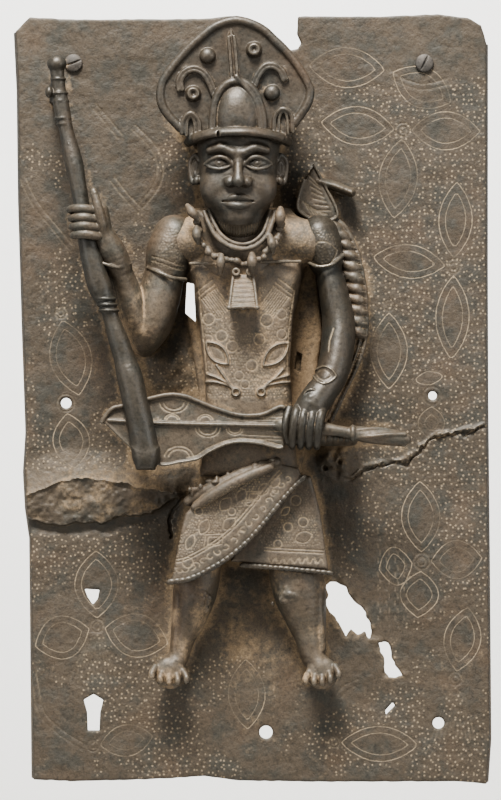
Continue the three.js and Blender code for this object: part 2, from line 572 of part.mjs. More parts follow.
const screws = Object.entries(SCREW_X).map(([side, x]) => {
  const mesh = new THREE.Mesh(screw(x), screwBrass);
  mesh.name = `hanging_screw_${side}`;
  return mesh;
});

const reliefPlaque = new THREE.Group();
reliefPlaque.add(plaque, ...screws);

export default reliefPlaque;
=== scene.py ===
"""A cast brass relief plaque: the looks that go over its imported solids.

The plaque is a thin plate, engraved with flowers on a dotted ground, with a figure in high relief. Each part
of the relief is a class that shapes a block of distances, as a founder builds up wax, and is then meshed and
dressed.
Lengths are millimetres: x across the plaque, h out of the plate's face, z up.
"""

import logging
import math
from collections.abc import Callable, Iterable, Sequence
from dataclasses import dataclass, field
from enum import Enum

import bpy
import numpy as np
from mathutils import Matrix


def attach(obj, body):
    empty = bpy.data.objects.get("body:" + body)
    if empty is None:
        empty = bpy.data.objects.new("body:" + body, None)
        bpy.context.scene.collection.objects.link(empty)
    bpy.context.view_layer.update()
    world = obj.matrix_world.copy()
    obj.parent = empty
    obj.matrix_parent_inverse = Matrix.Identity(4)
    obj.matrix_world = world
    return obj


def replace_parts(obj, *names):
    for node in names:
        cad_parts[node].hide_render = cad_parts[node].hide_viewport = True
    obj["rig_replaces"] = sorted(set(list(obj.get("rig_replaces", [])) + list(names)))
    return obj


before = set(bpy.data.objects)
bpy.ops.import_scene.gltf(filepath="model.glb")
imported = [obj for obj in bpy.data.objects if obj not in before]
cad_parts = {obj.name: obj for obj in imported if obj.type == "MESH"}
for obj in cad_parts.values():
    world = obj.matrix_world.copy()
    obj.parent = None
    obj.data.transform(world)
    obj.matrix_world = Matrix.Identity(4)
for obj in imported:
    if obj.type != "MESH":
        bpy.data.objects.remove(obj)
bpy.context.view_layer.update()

import openvdb as vdb

Array = np.ndarray
Row = tuple[float, ...]
Rows = Sequence[Row]

PLATE_THICKNESS = 3.5
MILLIMETRE = 0.001
FAR = 12.0  # the distance that stands for far outside
SUNK = -1.0  # how deep a form's foot is sunk in the plate
BODY_X = -4.0
FRONT_LEVEL = -1.5  # what lies higher than this belongs to the plate's front
MAP_CORNER = (-150.0, -240.0)  # x and z of the relief map's first cell
MAP_CELLS = (301, 481)  # one for each millimetre
log = logging.getLogger("relief_plaque")


# ---- lines and outlines ----

def smooth_line(rows: Rows, count: int) -> Array:
    """Points on a smooth line through rows of numbers.

    Args:
        rows: the points to pass through, each with any number of values.
        count: how many points to return.

    Returns:
        An array of count rows.
    """
    knots = np.asarray(rows, float)
    knots = np.vstack([2 * knots[0] - knots[1], knots, 2 * knots[-1] - knots[-2]])
    along = np.linspace(0, len(knots) - 3, count)
    first = np.minimum(along.astype(int), len(knots) - 4)
    part = (along - first)[:, None]
    a, b, c, d = (knots[first + k] for k in range(4))
    bend = 2 * a - 5 * b + 4 * c - d
    return 0.5 * (2 * b + (c - a) * part + bend * part**2 + (3 * b - a - 3 * c + d) * part**3)


def lens(foot: Row, tip: Row, half_width: float, count: int = 15) -> tuple[Array, Array]:
    """The two curved sides of a pointed petal from its foot to its tip."""
    a, b = np.array(foot, float), np.array(tip, float)
    along = np.linspace(0, 1, count)[:, None]
    side = np.array([b[1] - a[1], a[0] - b[0]]) / np.hypot(*(b - a))
    swell = half_width * (4 * along * (1 - along)) ** 0.95 * side
    middle = a + (b - a) * along
    return middle + swell, middle - swell


def petal_outline(foot: Row, tip: Row, half_width: float) -> Array:
    """A petal's closed outline."""
    left, right = lens(foot, tip, half_width)
    return np.vstack([left, right[::-1][1:-1]])


def circle(x: float, z: float, radius: float, count: int = 20) -> Array:
    """Points round a circle, the first one repeated at the end."""
    turn = np.linspace(0, 2 * math.pi, count + 1)
    return np.column_stack([x + radius * np.cos(turn), z + radius * np.sin(turn)])


def beside(points: Array, distance: float) -> Array:
    """A line set off sideways from another, to its right as it is followed."""
    along = np.gradient(np.asarray(points, float), axis=0)
    along /= np.linalg.norm(along, axis=1, keepdims=True) + 1e-9
    return points + distance * np.column_stack([along[:, 1], -along[:, 0]])


def outline_distance(x: Array, z: Array, corners: Rows) -> Array:
    """Signed distance in the plane to a closed outline.

    Args:
        x: across, in any shape that goes with z.
        z: up.
        corners: the outline's corners in order, either way round.

    Returns:
        The distances, negative inside.
    """
    corners = np.asarray(corners, float)
    nearest = np.full(np.broadcast(x, z).shape, np.inf)
    inside = np.zeros(nearest.shape, bool)
    for (ax, az), (bx, bz) in zip(corners, np.roll(corners, -1, axis=0)):
        ex, ez = bx - ax, bz - az
        part = np.clip(((x - ax) * ex + (z - az) * ez) / (ex * ex + ez * ez + 1e-12), 0, 1)
        nearest = np.minimum(nearest, (x - ax - part * ex) ** 2 + (z - az - part * ez) ** 2)
        if ez:
            inside ^= ((az > z) != (bz > z)) & (x < ex * (z - az) / ez + ax)
    return np.where(inside, -1, 1) * np.sqrt(nearest)


def smaller(a: Array, b: Array, blend: float) -> Array:
    """The smaller of two distances, run together over a blend width: joins two forms with a fillet."""
    if blend <= 0:
        return np.minimum(a, b)
    near = np.maximum(blend - np.abs(a - b), 0) / blend
    return np.minimum(a, b) - near * near * blend * 0.25


def larger(a: Array, b: Array, blend: float) -> Array:
    """The larger of two distances, run together over a blend width: rounds the edge where two forms meet."""
    return -smaller(-a, -b, blend)


def unevenness(shape: Sequence[int], cell: float, scale: float, rng: np.random.Generator) -> Array:
    """Smooth random waves between -1 and 1 over a grid.

    Args:
        shape: the grid's number of cells each way.
        cell: the size of a cell.
        scale: the size of a wave.
        rng: where the random numbers come from.

    Returns:
        An array of the shape asked for.
    """
    waves = rng.uniform(-1, 1, [int(n * cell / scale) + 3 for n in shape]).astype(np.float32)
    for axis, count in enumerate(shape):
        along = np.arange(count) * cell / scale
        first = along.astype(int)
        part = (along - first).astype(np.float32)
        part = (part * part * (3 - 2 * part)).reshape([-1 if k == axis else 1 for k in range(len(shape))])
        waves = np.take(waves, first, axis) * (1 - part) + np.take(waves, first + 1, axis) * part
    return waves


def blurred(values: Array, reach: int) -> Array:
    """The mean of each cell's neighbours up to reach cells away, along every axis."""
    for axis in range(values.ndim):
        count = values.shape[axis]
        padding = [(reach + 1, reach) if k == axis else (0, 0) for k in range(values.ndim)]
        total = np.cumsum(np.pad(values, padding, mode="edge"), axis=axis, dtype=np.float64)
        upper = np.take(total, np.arange(2 * reach + 1, count + 2 * reach + 1), axis)
        lower = np.take(total, np.arange(count), axis)
        values = ((upper - lower) / (2 * reach + 1)).astype(np.float32)
    return values


def sampled(values: Array, places: Array) -> Array:
    """Values read between a grid's cells.

    Args:
        values: a grid of any number of axes.
        places: rows of places counted in cells, one column for each axis.

    Returns:
        One value for each row.
    """
    first = np.clip(np.floor(places).astype(int), 0, np.array(values.shape) - 2)
    part = np.clip(places - first, 0, 1)
    total = np.zeros(len(places))
    for corner in np.ndindex(*(2,) * values.ndim):
        weight = np.prod(np.where(corner, part, 1 - part), axis=1)
        total += weight * values[tuple((first + corner).T)]
    return total


# ---- chasing: what is cut or punched into a face ----

class Chasing:
    """A drawing on the plane: how deep each place is cut, and how much pale fill lies in it."""

    def __init__(self, x: Array, z: Array, cell: float) -> None:
        """Starts with nothing cut. x is a column and z a row of evenly spaced places."""
        self.x, self.z, self.cell = x, z, cell
        self.depth = np.zeros((x.size, z.size), np.float32)
        self.fill = np.zeros_like(self.depth)

    def window(self, low: Row, high: Row) -> tuple[tuple[slice, slice], Array, Array]:
        """The cells between two corners, with their places."""
        spans = []
        for k, places in enumerate((self.x.ravel(), self.z.ravel())):
            first, last = np.searchsorted(places, (low[k], high[k]))
            spans.append(slice(int(first), int(last)))
        return (spans[0], spans[1]), self.x[spans[0]], self.z[:, spans[1]]

    def line(self, points: Rows, width: float, depth: float, fill: float = 1.0) -> None:
        """Cuts a round-bottomed line, or raises one where the depth is negative.

        Args:
            points: the line's points.
            width: how wide it is at the face.
            depth: how deep it is in the middle.
            fill: how much pale fill lies in it, from 0 to 1.
        """
        half = width / 2
        corners = np.asarray(points, float)
        low, high = corners.min(0) - half - self.cell, corners.max(0) + half + self.cell
        cut, x, z = self.window(low, high)
        nearest = np.full(self.depth[cut].shape, np.inf, np.float32)
        if nearest.size == 0:
            return
        for (ax, az), (bx, bz) in zip(corners[:-1], corners[1:]):
            spans = []
            for places, a, b in ((x.ravel(), ax, bx), (z.ravel(), az, bz)):
                first, last = np.searchsorted(places, (min(a, b) - half, max(a, b) + half))
                spans.append(slice(int(first), int(last)))
            lx, lz = x[spans[0]], z[:, spans[1]]
            ex, ez = bx - ax, bz - az
            part = np.clip(((lx - ax) * ex + (lz - az) * ez) / (ex * ex + ez * ez + 1e-12), 0, 1)
            away = (lx - ax - part * ex) ** 2 + (lz - az - part * ez) ** 2
            nearest[tuple(spans)] = np.minimum(nearest[tuple(spans)], away)
        profile = np.clip(1 - nearest / half**2, 0, 1)
        self._cut(cut, profile, depth, fill)

    def dot(self, x: float, z: float, radius: float, depth: float, fill: float = 1.0) -> None:
        """Punches a round pit."""
        cut, wx, wz = self.window((x - radius, z - radius), (x + radius, z + radius))
        profile = np.clip(1 - ((wx - x) ** 2 + (wz - z) ** 2) / radius**2, 0, 1)
        self._cut(cut, profile, depth, fill)

    def circles(self, places: Rows, fill: float) -> list[Array]:
        """Cuts circles of x, z, radius, and gives the outlines that the ground goes round."""
        for x, z, radius in places:
            self.line(circle(x, z, radius), 0.85, 0.4, fill)
        return [circle(x, z, radius + 0.3)[:-1] for x, z, radius in places]

    def leaves(self, places: Iterable[tuple[Row, Row, float]]) -> list[Array]:
        """Cuts pointed leaves of foot, tip, half width, and gives the outlines that the ground goes round."""
        kept = []
        for foot, tip, wide in places:
            for side in lens(foot, tip, wide):
                self.line(side, 0.8, 0.36, 0.85)
            kept.append(petal_outline(foot, tip, wide + 0.2))
        return kept

    def _cut(self, cut: tuple[slice, slice], profile: Array, depth: float, fill: float) -> None:
        """Cuts a profile into the face, over what is there."""
        depths = profile * depth
        here = self.depth[cut]
        self.depth[cut] = np.where(np.abs(depths) > np.abs(here), depths, here)
        self.fill[cut] = np.maximum(self.fill[cut], profile * fill)

    def ground(self, region: Rows, kept: Iterable[Rows], pitch: float, radius: float, depth: float,
               rng: np.random.Generator, fill: float = 1.0, looseness: float = 0.3) -> None:
        """Punches dots all over a region, apart from the shapes that are kept plain.

        Args:
            region: the outline of the ground.
            kept: outlines that stay plain.
            pitch: the mean distance between dots.
            radius: a dot's radius.
            depth: a dot's depth.
            rng: where the random numbers come from.
            fill: how much pale fill lies in a dot.
            looseness: how far a dot strays, as a part of the pitch.
        """
        low, high = np.min(region, axis=0), np.max(region, axis=0)
        columns, rows = (int(n) + 2 for n in (high - low) / pitch)
        i, j = np.meshgrid(np.arange(columns), np.arange(rows), indexing="ij")
        places = np.stack([i + 0.5 * (j % 2), j * 0.92], -1).reshape(-1, 2) * pitch + low
        places += rng.uniform(-looseness, looseness, places.shape) * pitch
        sizes = rng.uniform(0.8, 1.2, len(places))
        clear = outline_distance(places[:, 0], places[:, 1], region) < -radius
        for shape in kept:
            clear &= outline_distance(places[:, 0], places[:, 1], shape) > radius
        for (x, z), size in zip(places[clear], sizes[clear]):
            self.dot(x, z, radius * size, depth * size, fill)


# ---- solids made of distances ----

class Solid:
    """A form as signed distances on a cubic grid, to which shapes are added and from which they are cut."""

    def __init__(self, low: Row, high: Row, cell: float, seed: int) -> None:
        """Starts empty between two corners."""
        self.low, self.cell = np.array(low, float), cell
        count = np.ceil((np.array(high) - self.low) / cell).astype(int) + 1
        self.distance = np.full(count, FAR, np.float32)
        axes = [self.low[k] + cell * np.arange(count[k]) for k in range(3)]
        self.x, self.h, self.z = axes[0][:, None, None], axes[1][None, :, None], axes[2][None, None, :]
        self.chasing = Chasing(axes[0][:, None], axes[2][None, :], cell)
        self.rng = np.random.default_rng(seed)

    def _window(self, low: Sequence[float],
                high: Sequence[float]) -> tuple[tuple[slice, ...], Array, Array, Array]:
        """The cells between two corners, with their places."""
        first = np.clip(np.floor((np.array(low) - self.low) / self.cell).astype(int), 0, self.distance.shape)
        last = np.clip(np.ceil((np.array(high) - self.low) / self.cell).astype(int) + 1, 0,
                       self.distance.shape)
        cut = tuple(slice(int(a), int(b)) for a, b in zip(first, last))
        return cut, self.x[cut[0]], self.h[:, cut[1]], self.z[:, :, cut[2]]

    def _merge(self, cut: tuple[slice, ...], distance: Array, blend: float, carve: bool) -> None:
        """Adds or cuts away a shape whose distances are known inside a window."""
        if distance.size == 0:
            return
        here = self.distance[cut]
        self.distance[cut] = larger(here, -distance, blend) if carve else smaller(here, distance, blend)

    def limb(self, rows: Rows, blend: float = 1.5, count: int = 0, carve: bool = False) -> None:
        """A rounded form along a smooth line.

        Args:
            rows: stations of x, h, z, half width and, where it is not the same, half depth.
            blend: the fillet where it meets what is there.
            count: how many points the line is worked out at, or 0 to leave it to the length.
            carve: cuts the form away instead.
        """
        stations = np.array([row if len(row) == 5 else (*row, row[3]) for row in rows], float)
        length = np.linalg.norm(np.diff(stations[:, :3], axis=0), axis=1).sum()
        line = smooth_line(stations, count or max(len(rows) * 3, int(length / 3.5)))
        margin = line[:, 3:].max() + blend + 2
        cut, x, h, z = self._window(line[:, :3].min(0) - margin, line[:, :3].max(0) + margin)
        if 0 in (x.size, h.size, z.size):
            return
        nearest = np.full((x.size, h.size, z.size), FAR, np.float32)
        origin = np.array([x.flat[0], h.flat[0], z.flat[0]])
        for a, b in zip(line[:-1], line[1:]):
            reach = max(a[3:].max(), b[3:].max()) + blend + 2
            low = np.floor((np.minimum(a, b)[:3] - reach - origin) / self.cell).astype(int)
            high = np.ceil((np.maximum(a, b)[:3] + reach - origin) / self.cell).astype(int) + 1
            span = tuple(slice(max(int(p), 0), max(int(q), 0)) for p, q in zip(low, high))
            px, ph, pz = x[span[0]] - a[0], h[:, span[1]] - a[1], z[:, :, span[2]] - a[2]
            ex, eh, ez = (b - a)[:3]
            part = np.clip((px * ex + ph * eh + pz * ez) / (ex * ex + eh * eh + ez * ez + 1e-9), 0, 1)
            wide = a[3] + (b[3] - a[3]) * part
            deep = a[4] + (b[4] - a[4]) * part
            out2 = (ph - part * eh) ** 2
            side2 = (px - part * ex) ** 2 + (pz - part * ez) ** 2
            k0 = np.sqrt(side2 / wide**2 + out2 / deep**2)
            k1 = np.sqrt(side2 / wide**4 + out2 / deep**4) + 1e-6
            away = k0 * (k0 - 1) / k1
            nearest[span] = np.minimum(nearest[span], away)
        self._merge(cut, nearest, blend, carve)

    def tube(self, points: Rows, radius: float, blend: float = 0.8, carve: bool = False) -> None:
        """A round bar along a smooth line through x, h, z points."""
        self.limb([(*point, radius) for point in points], blend, carve=carve)

    def trace(self, line: Rows, height: float, radius: float, blend: float) -> None:
        """A round bar at one height over a line of x, z points."""
        self.tube([(x, height, z) for x, z in line], radius, blend)

    def ball(self, x: float, h: float, z: float, wide: float, deep: float = 0, tall: float = 0,
             blend: float = 1.5, carve: bool = False) -> None:
        """An ellipsoid; a half depth or half height of 0 is the same as its half width."""
        deep, tall = deep or wide, tall or wide
        sizes = np.array([wide, deep, tall])
        margin = sizes + blend + 2
        place = np.array([x, h, z])
        cut, gx, gh, gz = self._window(place - margin, place + margin)
        px, ph, pz = gx - x, gh - h, gz - z
        k0 = np.sqrt((px / wide) ** 2 + (ph / deep) ** 2 + (pz / tall) ** 2)
        k1 = np.sqrt((px / wide**2) ** 2 + (ph / deep**2) ** 2 + (pz / tall**2) ** 2) + 1e-6
        self._merge(cut, k0 * (k0 - 1) / k1, blend, carve)

    def ring(self, x: float, h: float, z: float, radius: float, thick: float, blend: float = 0.6) -> None:
        """A round ring that lies flat and faces the front."""
        reach = np.array([radius, 0, radius]) + thick + blend + 2
        cut, gx, gh, gz = self._window(np.array([x, h, z]) - reach, np.array([x, h, z]) + reach)
        flat = np.sqrt((gx - x) ** 2 + (gz - z) ** 2) - radius
        self._merge(cut, np.sqrt(flat**2 + (gh - h) ** 2) - thick, blend, False)

    def slab(self, corners: Rows, back: float, front: float | Callable[[Array, Array], Array],
             edge: float = 1.5,
             blend: float = 1.5, pillow: tuple[float, float] = (0, 1), carve: bool = False) -> None:
        """An outline given thickness.

        Args:
            corners: the outline.
            back: the height that it starts from.
            front: its front height, or what gives it for any x and z.
            edge: how far its edges are rounded.
            blend: the fillet where it meets what is there.
            pillow: how far the front falls at the edge, and over what width.
            carve: cuts the form away instead.
        """
        corners = np.asarray(corners, float)
        top = front if not callable(front) else float(np.max(front(corners[:, 0], corners[:, 1]))) + 4
        low = (corners[:, 0].min() - 4, back - 4, corners[:, 1].min() - 4)
        cut, x, h, z = self._window(low, (corners[:, 0].max() + 4, top + 4, corners[:, 1].max() + 4))
        flat = outline_distance(x[:, 0], z[:, 0], corners)
        face = front(x[:, 0], z[:, 0]) if callable(front) else np.full(flat.shape, float(front))
        drop, width = pillow
        face = (face - drop * (1 - np.clip(-flat / width, 0, 1)) ** 2)[:, None, :]
        flat = flat[:, None, :]
        away = larger(larger(flat, h - face, edge * 2), back - h, edge)
        self._merge(cut, away, blend, carve)

    def chase(self, low: float) -> None:
        """Cuts the chasing into the form from a height upwards."""
        first = np.searchsorted(self.h.ravel(), low)
        self.distance[:, first:] += self.chasing.depth[:, None, :]

    def weather(self, coarse: float = 0.2, fine: float = 0.1) -> None:
        """Gives the surface the slight unevenness of a worn casting."""
        shape = self.distance.shape
        self.distance += coarse * unevenness(shape, self.cell, 7.0, self.rng)
        self.distance += fine * unevenness(shape, self.cell, 2.3, self.rng)

    def plant(self) -> None:
        """Cuts the form off just inside the plate."""
        np.maximum(self.distance, SUNK - self.h, out=self.distance)

    def seal(self) -> None:
        """Keeps the form clear of the grid's sides, so that it is closed."""
        for axis in range(3):
            for side in (0, -1):
                edge = [slice(None)] * 3
                edge[axis] = side
                np.maximum(self.distance[tuple(edge)], self.cell, out=self.distance[tuple(edge)])

    def top(self) -> Array:
        """The height of the form over each x and z, or a low number where there is none."""
        inside = self.distance < 0
        highest = inside.shape[1] - 1 - np.argmax(inside[:, ::-1], axis=1)
        return np.where(inside.any(axis=1), self.low[1] + self.cell * highest, -FAR)

    def foot(self) -> Array:
        """Where the form stands on the plate, as true and false over x and z."""
        level = np.searchsorted(self.h.ravel(), 1.0)
        return self.distance[:, min(level, self.distance.shape[1] - 1)] < 0


class ReliefMap:
    """How high the whole relief stands over every square millimetre of the plate."""

    def __init__(self) -> None:
        """Starts as bare plate."""
        self.low = np.array(MAP_CORNER)
        self.height = np.zeros(MAP_CELLS, np.float32)
        self.footing = np.zeros_like(self.height)

    def cover(self, solid: Solid) -> None:
        """Adds a form to the map."""
        top, foot = solid.top(), solid.foot()
        i = np.clip(np.round(solid.x.ravel() - self.low[0]).astype(int), 0, MAP_CELLS[0] - 1)
        j = np.clip(np.round(solid.z.ravel() - self.low[1]).astype(int), 0, MAP_CELLS[1] - 1)
        place = np.broadcast_arrays(i[:, None], j[None, :])
        np.maximum.at(self.height, (place[0], place[1]), top)
        np.maximum.at(self.footing, (place[0], place[1]), foot.astype(np.float32))

    def shelter(self, points: Array) -> Array:
        """How far points are tucked in among higher forms, from 0 to 1.

        Args:
            points: rows of x, h, z.

        Returns:
            One value for each row.
        """
        around = blurred(blurred(self.height, 3), 4)
        over = sampled(around, points[:, [0, 2]] - self.low) - points[:, 1]
        return np.clip((over + 1.0) / 14.0, 0, 1)


# ---- finishes ----

class Shade:
    """A socket in a material's nodes, on which sums can be written as they are in Python."""

    def __init__(self, bench: "Bench", socket: bpy.types.NodeSocket) -> None:
        """Wraps a socket."""
        self.bench, self.socket = bench, socket

    def _sum(self, operation: str, *values: "Shade | float", clamp: bool = False) -> "Shade":
        """A Math node on these values."""
        settings = {"operation": operation, "use_clamp": clamp}
        return self.bench.node("ShaderNodeMath", settings, dict(enumerate(values))).value()

    def __add__(self, other: "Shade | float") -> "Shade":
        """This plus another."""
        return self._sum("ADD", self, other)

    __radd__ = __add__

    def __sub__(self, other: "Shade | float") -> "Shade":
        """This less another."""
        return self._sum("SUBTRACT", self, other)

    def __rsub__(self, other: float) -> "Shade":
        """A number less this."""
        return self._sum("SUBTRACT", other, self)

    def __mul__(self, other: "Shade | float") -> "Shade":
        """This times another."""
        return self._sum("MULTIPLY", self, other)


    def __abs__(self) -> "Shade":
        """This without its sign."""
        return self._sum("ABSOLUTE", self)

    def clamp(self) -> "Shade":
        """This kept between 0 and 1."""
        return self._sum("ADD", self, 0.0, clamp=True)

    def step(self, low: float, high: float) -> "Shade":
        """0 below low, 1 above high, and smooth between."""
        settings = {"interpolation_type": "SMOOTHSTEP"}
        return self.bench.node("ShaderNodeMapRange", settings,
                               {0: self, 1: low, 2: high, 3: 0.0, 4: 1.0}).value()


class Made:
    """A node that a bench has made, with its sockets as shades."""

    def __init__(self, bench: "Bench", node: bpy.types.Node) -> None:
        """Wraps a node."""
        self.bench, self.node = bench, node

    def value(self, name: str | int = 0) -> Shade:
        """One of its output sockets."""
        return Shade(self.bench, self.node.outputs[name])


class Bench:
    """Where a material's nodes are made and joined."""

    def __init__(self, name: str) -> None:
        """Starts a material with nothing but its output."""
        self.material = bpy.data.materials.new(name)
        self.material.use_nodes = True
        self.tree = self.material.node_tree
        self.tree.nodes.clear()

    def node(self, kind: str, settings: dict[str, object] | None = None,
             sockets: dict[str | int, object] | None = None) -> Made:
        """Makes a node of any kind.

        Args:
            kind: the node's type.
            settings: its own settings, which are set first.
            sockets: values or shades for its inputs, by name or number.

        Returns:
            The node.
        """
        made = self.tree.nodes.new(kind)
        for key, value in (settings or {}).items():
            setattr(made, key, value)
        for key, value in (sockets or {}).items():
            if isinstance(value, Shade):
                self.tree.links.new(value.socket, made.inputs[key])
            else:
                made.inputs[key].default_value = value
        return Made(self, made)

    def attribute(self, name: str) -> Shade:
        """A number kept on the mesh."""
        return self.node("ShaderNodeAttribute", {"attribute_name": name}).value("Fac")

    def mixed(self, share: Shade | float, first: object, second: object) -> Shade:
        """One colour running into another."""
        sockets = {0: share, 6: first, 7: second}
        return self.node("ShaderNodeMix", {"data_type": "RGBA"}, sockets).value(2)

    def cloud(self, place: Shade, scale: float, detail: float = 3.0, rough: float = 0.55) -> Shade:
        """Soft noise between about 0.25 and 0.75."""
        sockets = {"Vector": place, "Scale": scale, "Detail": detail, "Roughness": rough}
        return self.node("ShaderNodeTexNoise", {"noise_dimensions": "3D"}, sockets).value(0)


Colour = tuple[float, float, float, float]


class Mark(Enum):
    """The numbers that each mesh carries for its finish."""

    RIDGE = "ridge"  # sharp outward edges that hands have rubbed
    HOLLOW = "hollow"  # narrow inward corners
    SHELTER = "shelter"  # places tucked in among higher forms
    FILL = "fill"  # pale fill in lines and dots
    EARTH = "earth"  # broken and crusted places, and on the plate two pale patches of painted light over the shadows of the bent arm and the skirt
    OUTLINE = "outline"  # millimetres from the nearest petal's outline, less than 0 inside it
    GROUND = "ground"  # where the dotted ground has lasted


FORM_MARKS = (Mark.RIDGE, Mark.HOLLOW, Mark.SHELTER, Mark.FILL, Mark.EARTH)


@dataclass(frozen=True)
class Patina:
    """Brown brass with earth in its hollows and rubbed, darker high places."""

    name: str
    body: Colour = (0.07, 0.054, 0.037, 1)
    cool: Colour = (0.048, 0.045, 0.036, 1)
    warm: Colour = (0.1, 0.062, 0.036, 1)
    earth: Colour = (0.19, 0.136, 0.083, 1)
    pale: Colour = (0.33, 0.262, 0.175, 1)
    rubbed: Colour = (0.085, 0.073, 0.056, 1)
    earthiness: float = 0.5
    metal: float = 0.55
    rough: float = 0.5
    grain: float = 0.25
    clinging: float = 0.9  # how much earth stays in narrow corners
    engraved: bool = False
    inner_outline: float = 3.9  # millimetres between a petal's two outlines
    dot_pitch: float = 3.3

    def _engraving(self, bench: Bench, place: Shade, speck: Shade) -> Shade:
        """The petals' thin doubled outlines and the punched dots, worn away in places."""
        away = bench.attribute(Mark.OUTLINE.value) + (speck - 0.5) * 0.8
        lines = ((1.0 - abs(away).step(0.14, 0.46))
                 + (1.0 - abs(away + self.inner_outline).step(0.12, 0.42)) * 0.7)
        axes = bench.node("ShaderNodeSeparateXYZ", None, {0: place})
        flat = bench.node("ShaderNodeCombineXYZ", None, {0: axes.value("X"), 1: axes.value("Z")}).value(0)
        spots = bench.node("ShaderNodeTexVoronoi", {"voronoi_dimensions": "2D"}, {
            "Vector": flat, "Scale": 1 / (self.dot_pitch * MILLIMETRE), "Randomness": 0.75}).value("Distance")
        dots = (1.0 - spots.step(0.13, 0.25)) * bench.attribute(Mark.GROUND.value).step(0.42, 0.66)
        lasting = bench.cloud(place, 36.0, 3.0).step(0.38, 0.6)
        return lines * (lasting * 0.5 + 0.12) + dots * (speck.step(0.32, 0.6) * 0.4 + 0.16)

    def material(self) -> bpy.types.Material:
        """The finish as a material."""
        bench = Bench(self.name)
        place = bench.node("ShaderNodeTexCoord").value("Object")
        ridge, hollow, shelter, fill, earth = (bench.attribute(mark.value) for mark in FORM_MARKS)
        broad = bench.cloud(place, 28.0, 4.0)
        blotch = bench.cloud(place, 75.0, 5.0, 0.6)
        speck = bench.cloud(place, 420.0, 3.0, 0.6)
        grit = bench.cloud(place, 190.0, 4.0, 0.65)
        dusty = (shelter * 0.75 + hollow * self.clinging + earth + (broad - 0.5) * 1.1 + (blotch - 0.5) * 1.1
                 + (grit - 0.5) * 1.5 + (speck - 0.5) * 0.7)
        dusty = (dusty.step(0.62 - 0.55 * self.earthiness, 1.45 - 0.45 * self.earthiness)
                 + earth * 0.35).clamp()
        worn = (ridge * 1.3 + (speck - 0.5) * 0.6 - shelter * 0.5).step(0.25, 0.9)
        base = bench.mixed(blotch.step(0.42, 0.66), self.body, self.cool)
        base = bench.mixed(broad.step(0.5, 0.75) * 0.6, base, self.warm)
        base = bench.mixed(worn * 0.8, base, self.rubbed)
        base = bench.mixed(dusty * 0.85, base, self.earth)
        cut = (fill * (0.5 + (blotch - 0.5) * 1.6)).clamp()
        if self.engraved:
            cut = (cut + self._engraving(bench, place, speck)).clamp()
        base = bench.mixed(cut, base, self.pale)
        fine = bench.cloud(place, 900.0, 4.0, 0.65)
        grime = speck.step(0.3, 0.52) * 0.3 + fine.step(0.36, 0.62) * 0.3 + 0.52
        base = bench.node("ShaderNodeVectorMath", {"operation": "SCALE"}, {0: base, 3: grime}).value(0)
        dull = (dusty + cut).clamp()
        height = (blotch * 0.6 + grit * 0.7 + speck * 0.6 + fine * 0.35 * (0.4 + dull)
                  - cut * (0.5 if self.engraved else 0.0))
        bump = bench.node("ShaderNodeBump", None,
                          {"Strength": self.grain, "Distance": 0.0012, "Height": height})
        shader = bench.node("ShaderNodeBsdfPrincipled", None, {
            "Base Color": base,
            "Metallic": (1.0 - dull) * self.metal,
            "Roughness": (self.rough + dull * 0.35 - worn * 0.14 + (speck - 0.5) * 0.3).clamp(),
            "Normal": bump.value("Normal"),
            "IOR": 1.5,
        })
        bench.node("ShaderNodeOutputMaterial", None, {"Surface": shader.value("BSDF")})
        return bench.material


PLATE_FINISH = Patina("plate_patina", body=(0.041, 0.031, 0.02, 1), cool=(0.027, 0.025, 0.019, 1),
                      warm=(0.064, 0.042, 0.025, 1), earth=(0.165, 0.12, 0.074, 1),
                      pale=(0.26, 0.208, 0.143, 1),
                      earthiness=0.54, metal=0.12, rough=0.62, grain=0.45, clinging=0.45, engraved=True)
FIGURE_FINISH = Patina("figure_patina", body=(0.058, 0.045, 0.031, 1), cool=(0.04, 0.037, 0.029, 1),
                       warm=(0.085, 0.055, 0.034, 1), earthiness=0.56, metal=0.22, rough=0.54)
DARK_FINISH = Patina("dark_patina", body=(0.038, 0.03, 0.021, 1), cool=(0.028, 0.026, 0.021, 1),
                     warm=(0.066, 0.044, 0.028, 1), earthiness=0.4, metal=0.26, rough=0.5, grain=0.24,
                     clinging=0.6)
RUBBED_FINISH = Patina("rubbed_patina", body=(0.03, 0.025, 0.018, 1), cool=(0.023, 0.022, 0.018, 1),
                       warm=(0.052, 0.037, 0.025, 1), earthiness=0.26, metal=0.3, rough=0.47, grain=0.2)
CLOTH_FINISH = Patina("tunic_patina", body=(0.066, 0.05, 0.034, 1), cool=(0.05, 0.042, 0.031, 1),
                      warm=(0.09, 0.06, 0.036, 1), earthiness=0.74, metal=0.1, rough=0.62, grain=0.3)
SCREW_FINISH = Patina("screw_patina", body=(0.05, 0.044, 0.038, 1), cool=(0.04, 0.038, 0.035, 1),
                      earthiness=0.2, metal=0.25, rough=0.62, grain=0.2)


# ---- making and dressing a piece ----

def in_scene(name: str, data: bpy.types.ID) -> bpy.types.Object:
    """A new object in the scene, made from a mesh, a lamp or a camera."""
    thing = bpy.data.objects.new(name, data)
    bpy.context.scene.collection.objects.link(thing)
    return thing


def mesh_object(name: str, points: Array, faces: Array) -> bpy.types.Object:
    """An object from points in metres and faces that all have the same number of corners."""
    mesh = bpy.data.meshes.new(name)
    mesh.vertices.add(len(points))
    mesh.vertices.foreach_set("co", np.ascontiguousarray(points, np.float32).ravel())
    mesh.loops.add(faces.size)
    mesh.loops.foreach_set("vertex_index", np.ascontiguousarray(faces, np.int32).ravel())
    mesh.polygons.add(len(faces))
    mesh.polygons.foreach_set("loop_start", np.arange(0, faces.size, faces.shape[1], dtype=np.int32))
    mesh.update(calc_edges=True)
    mesh.validate()
    return in_scene(name, mesh)


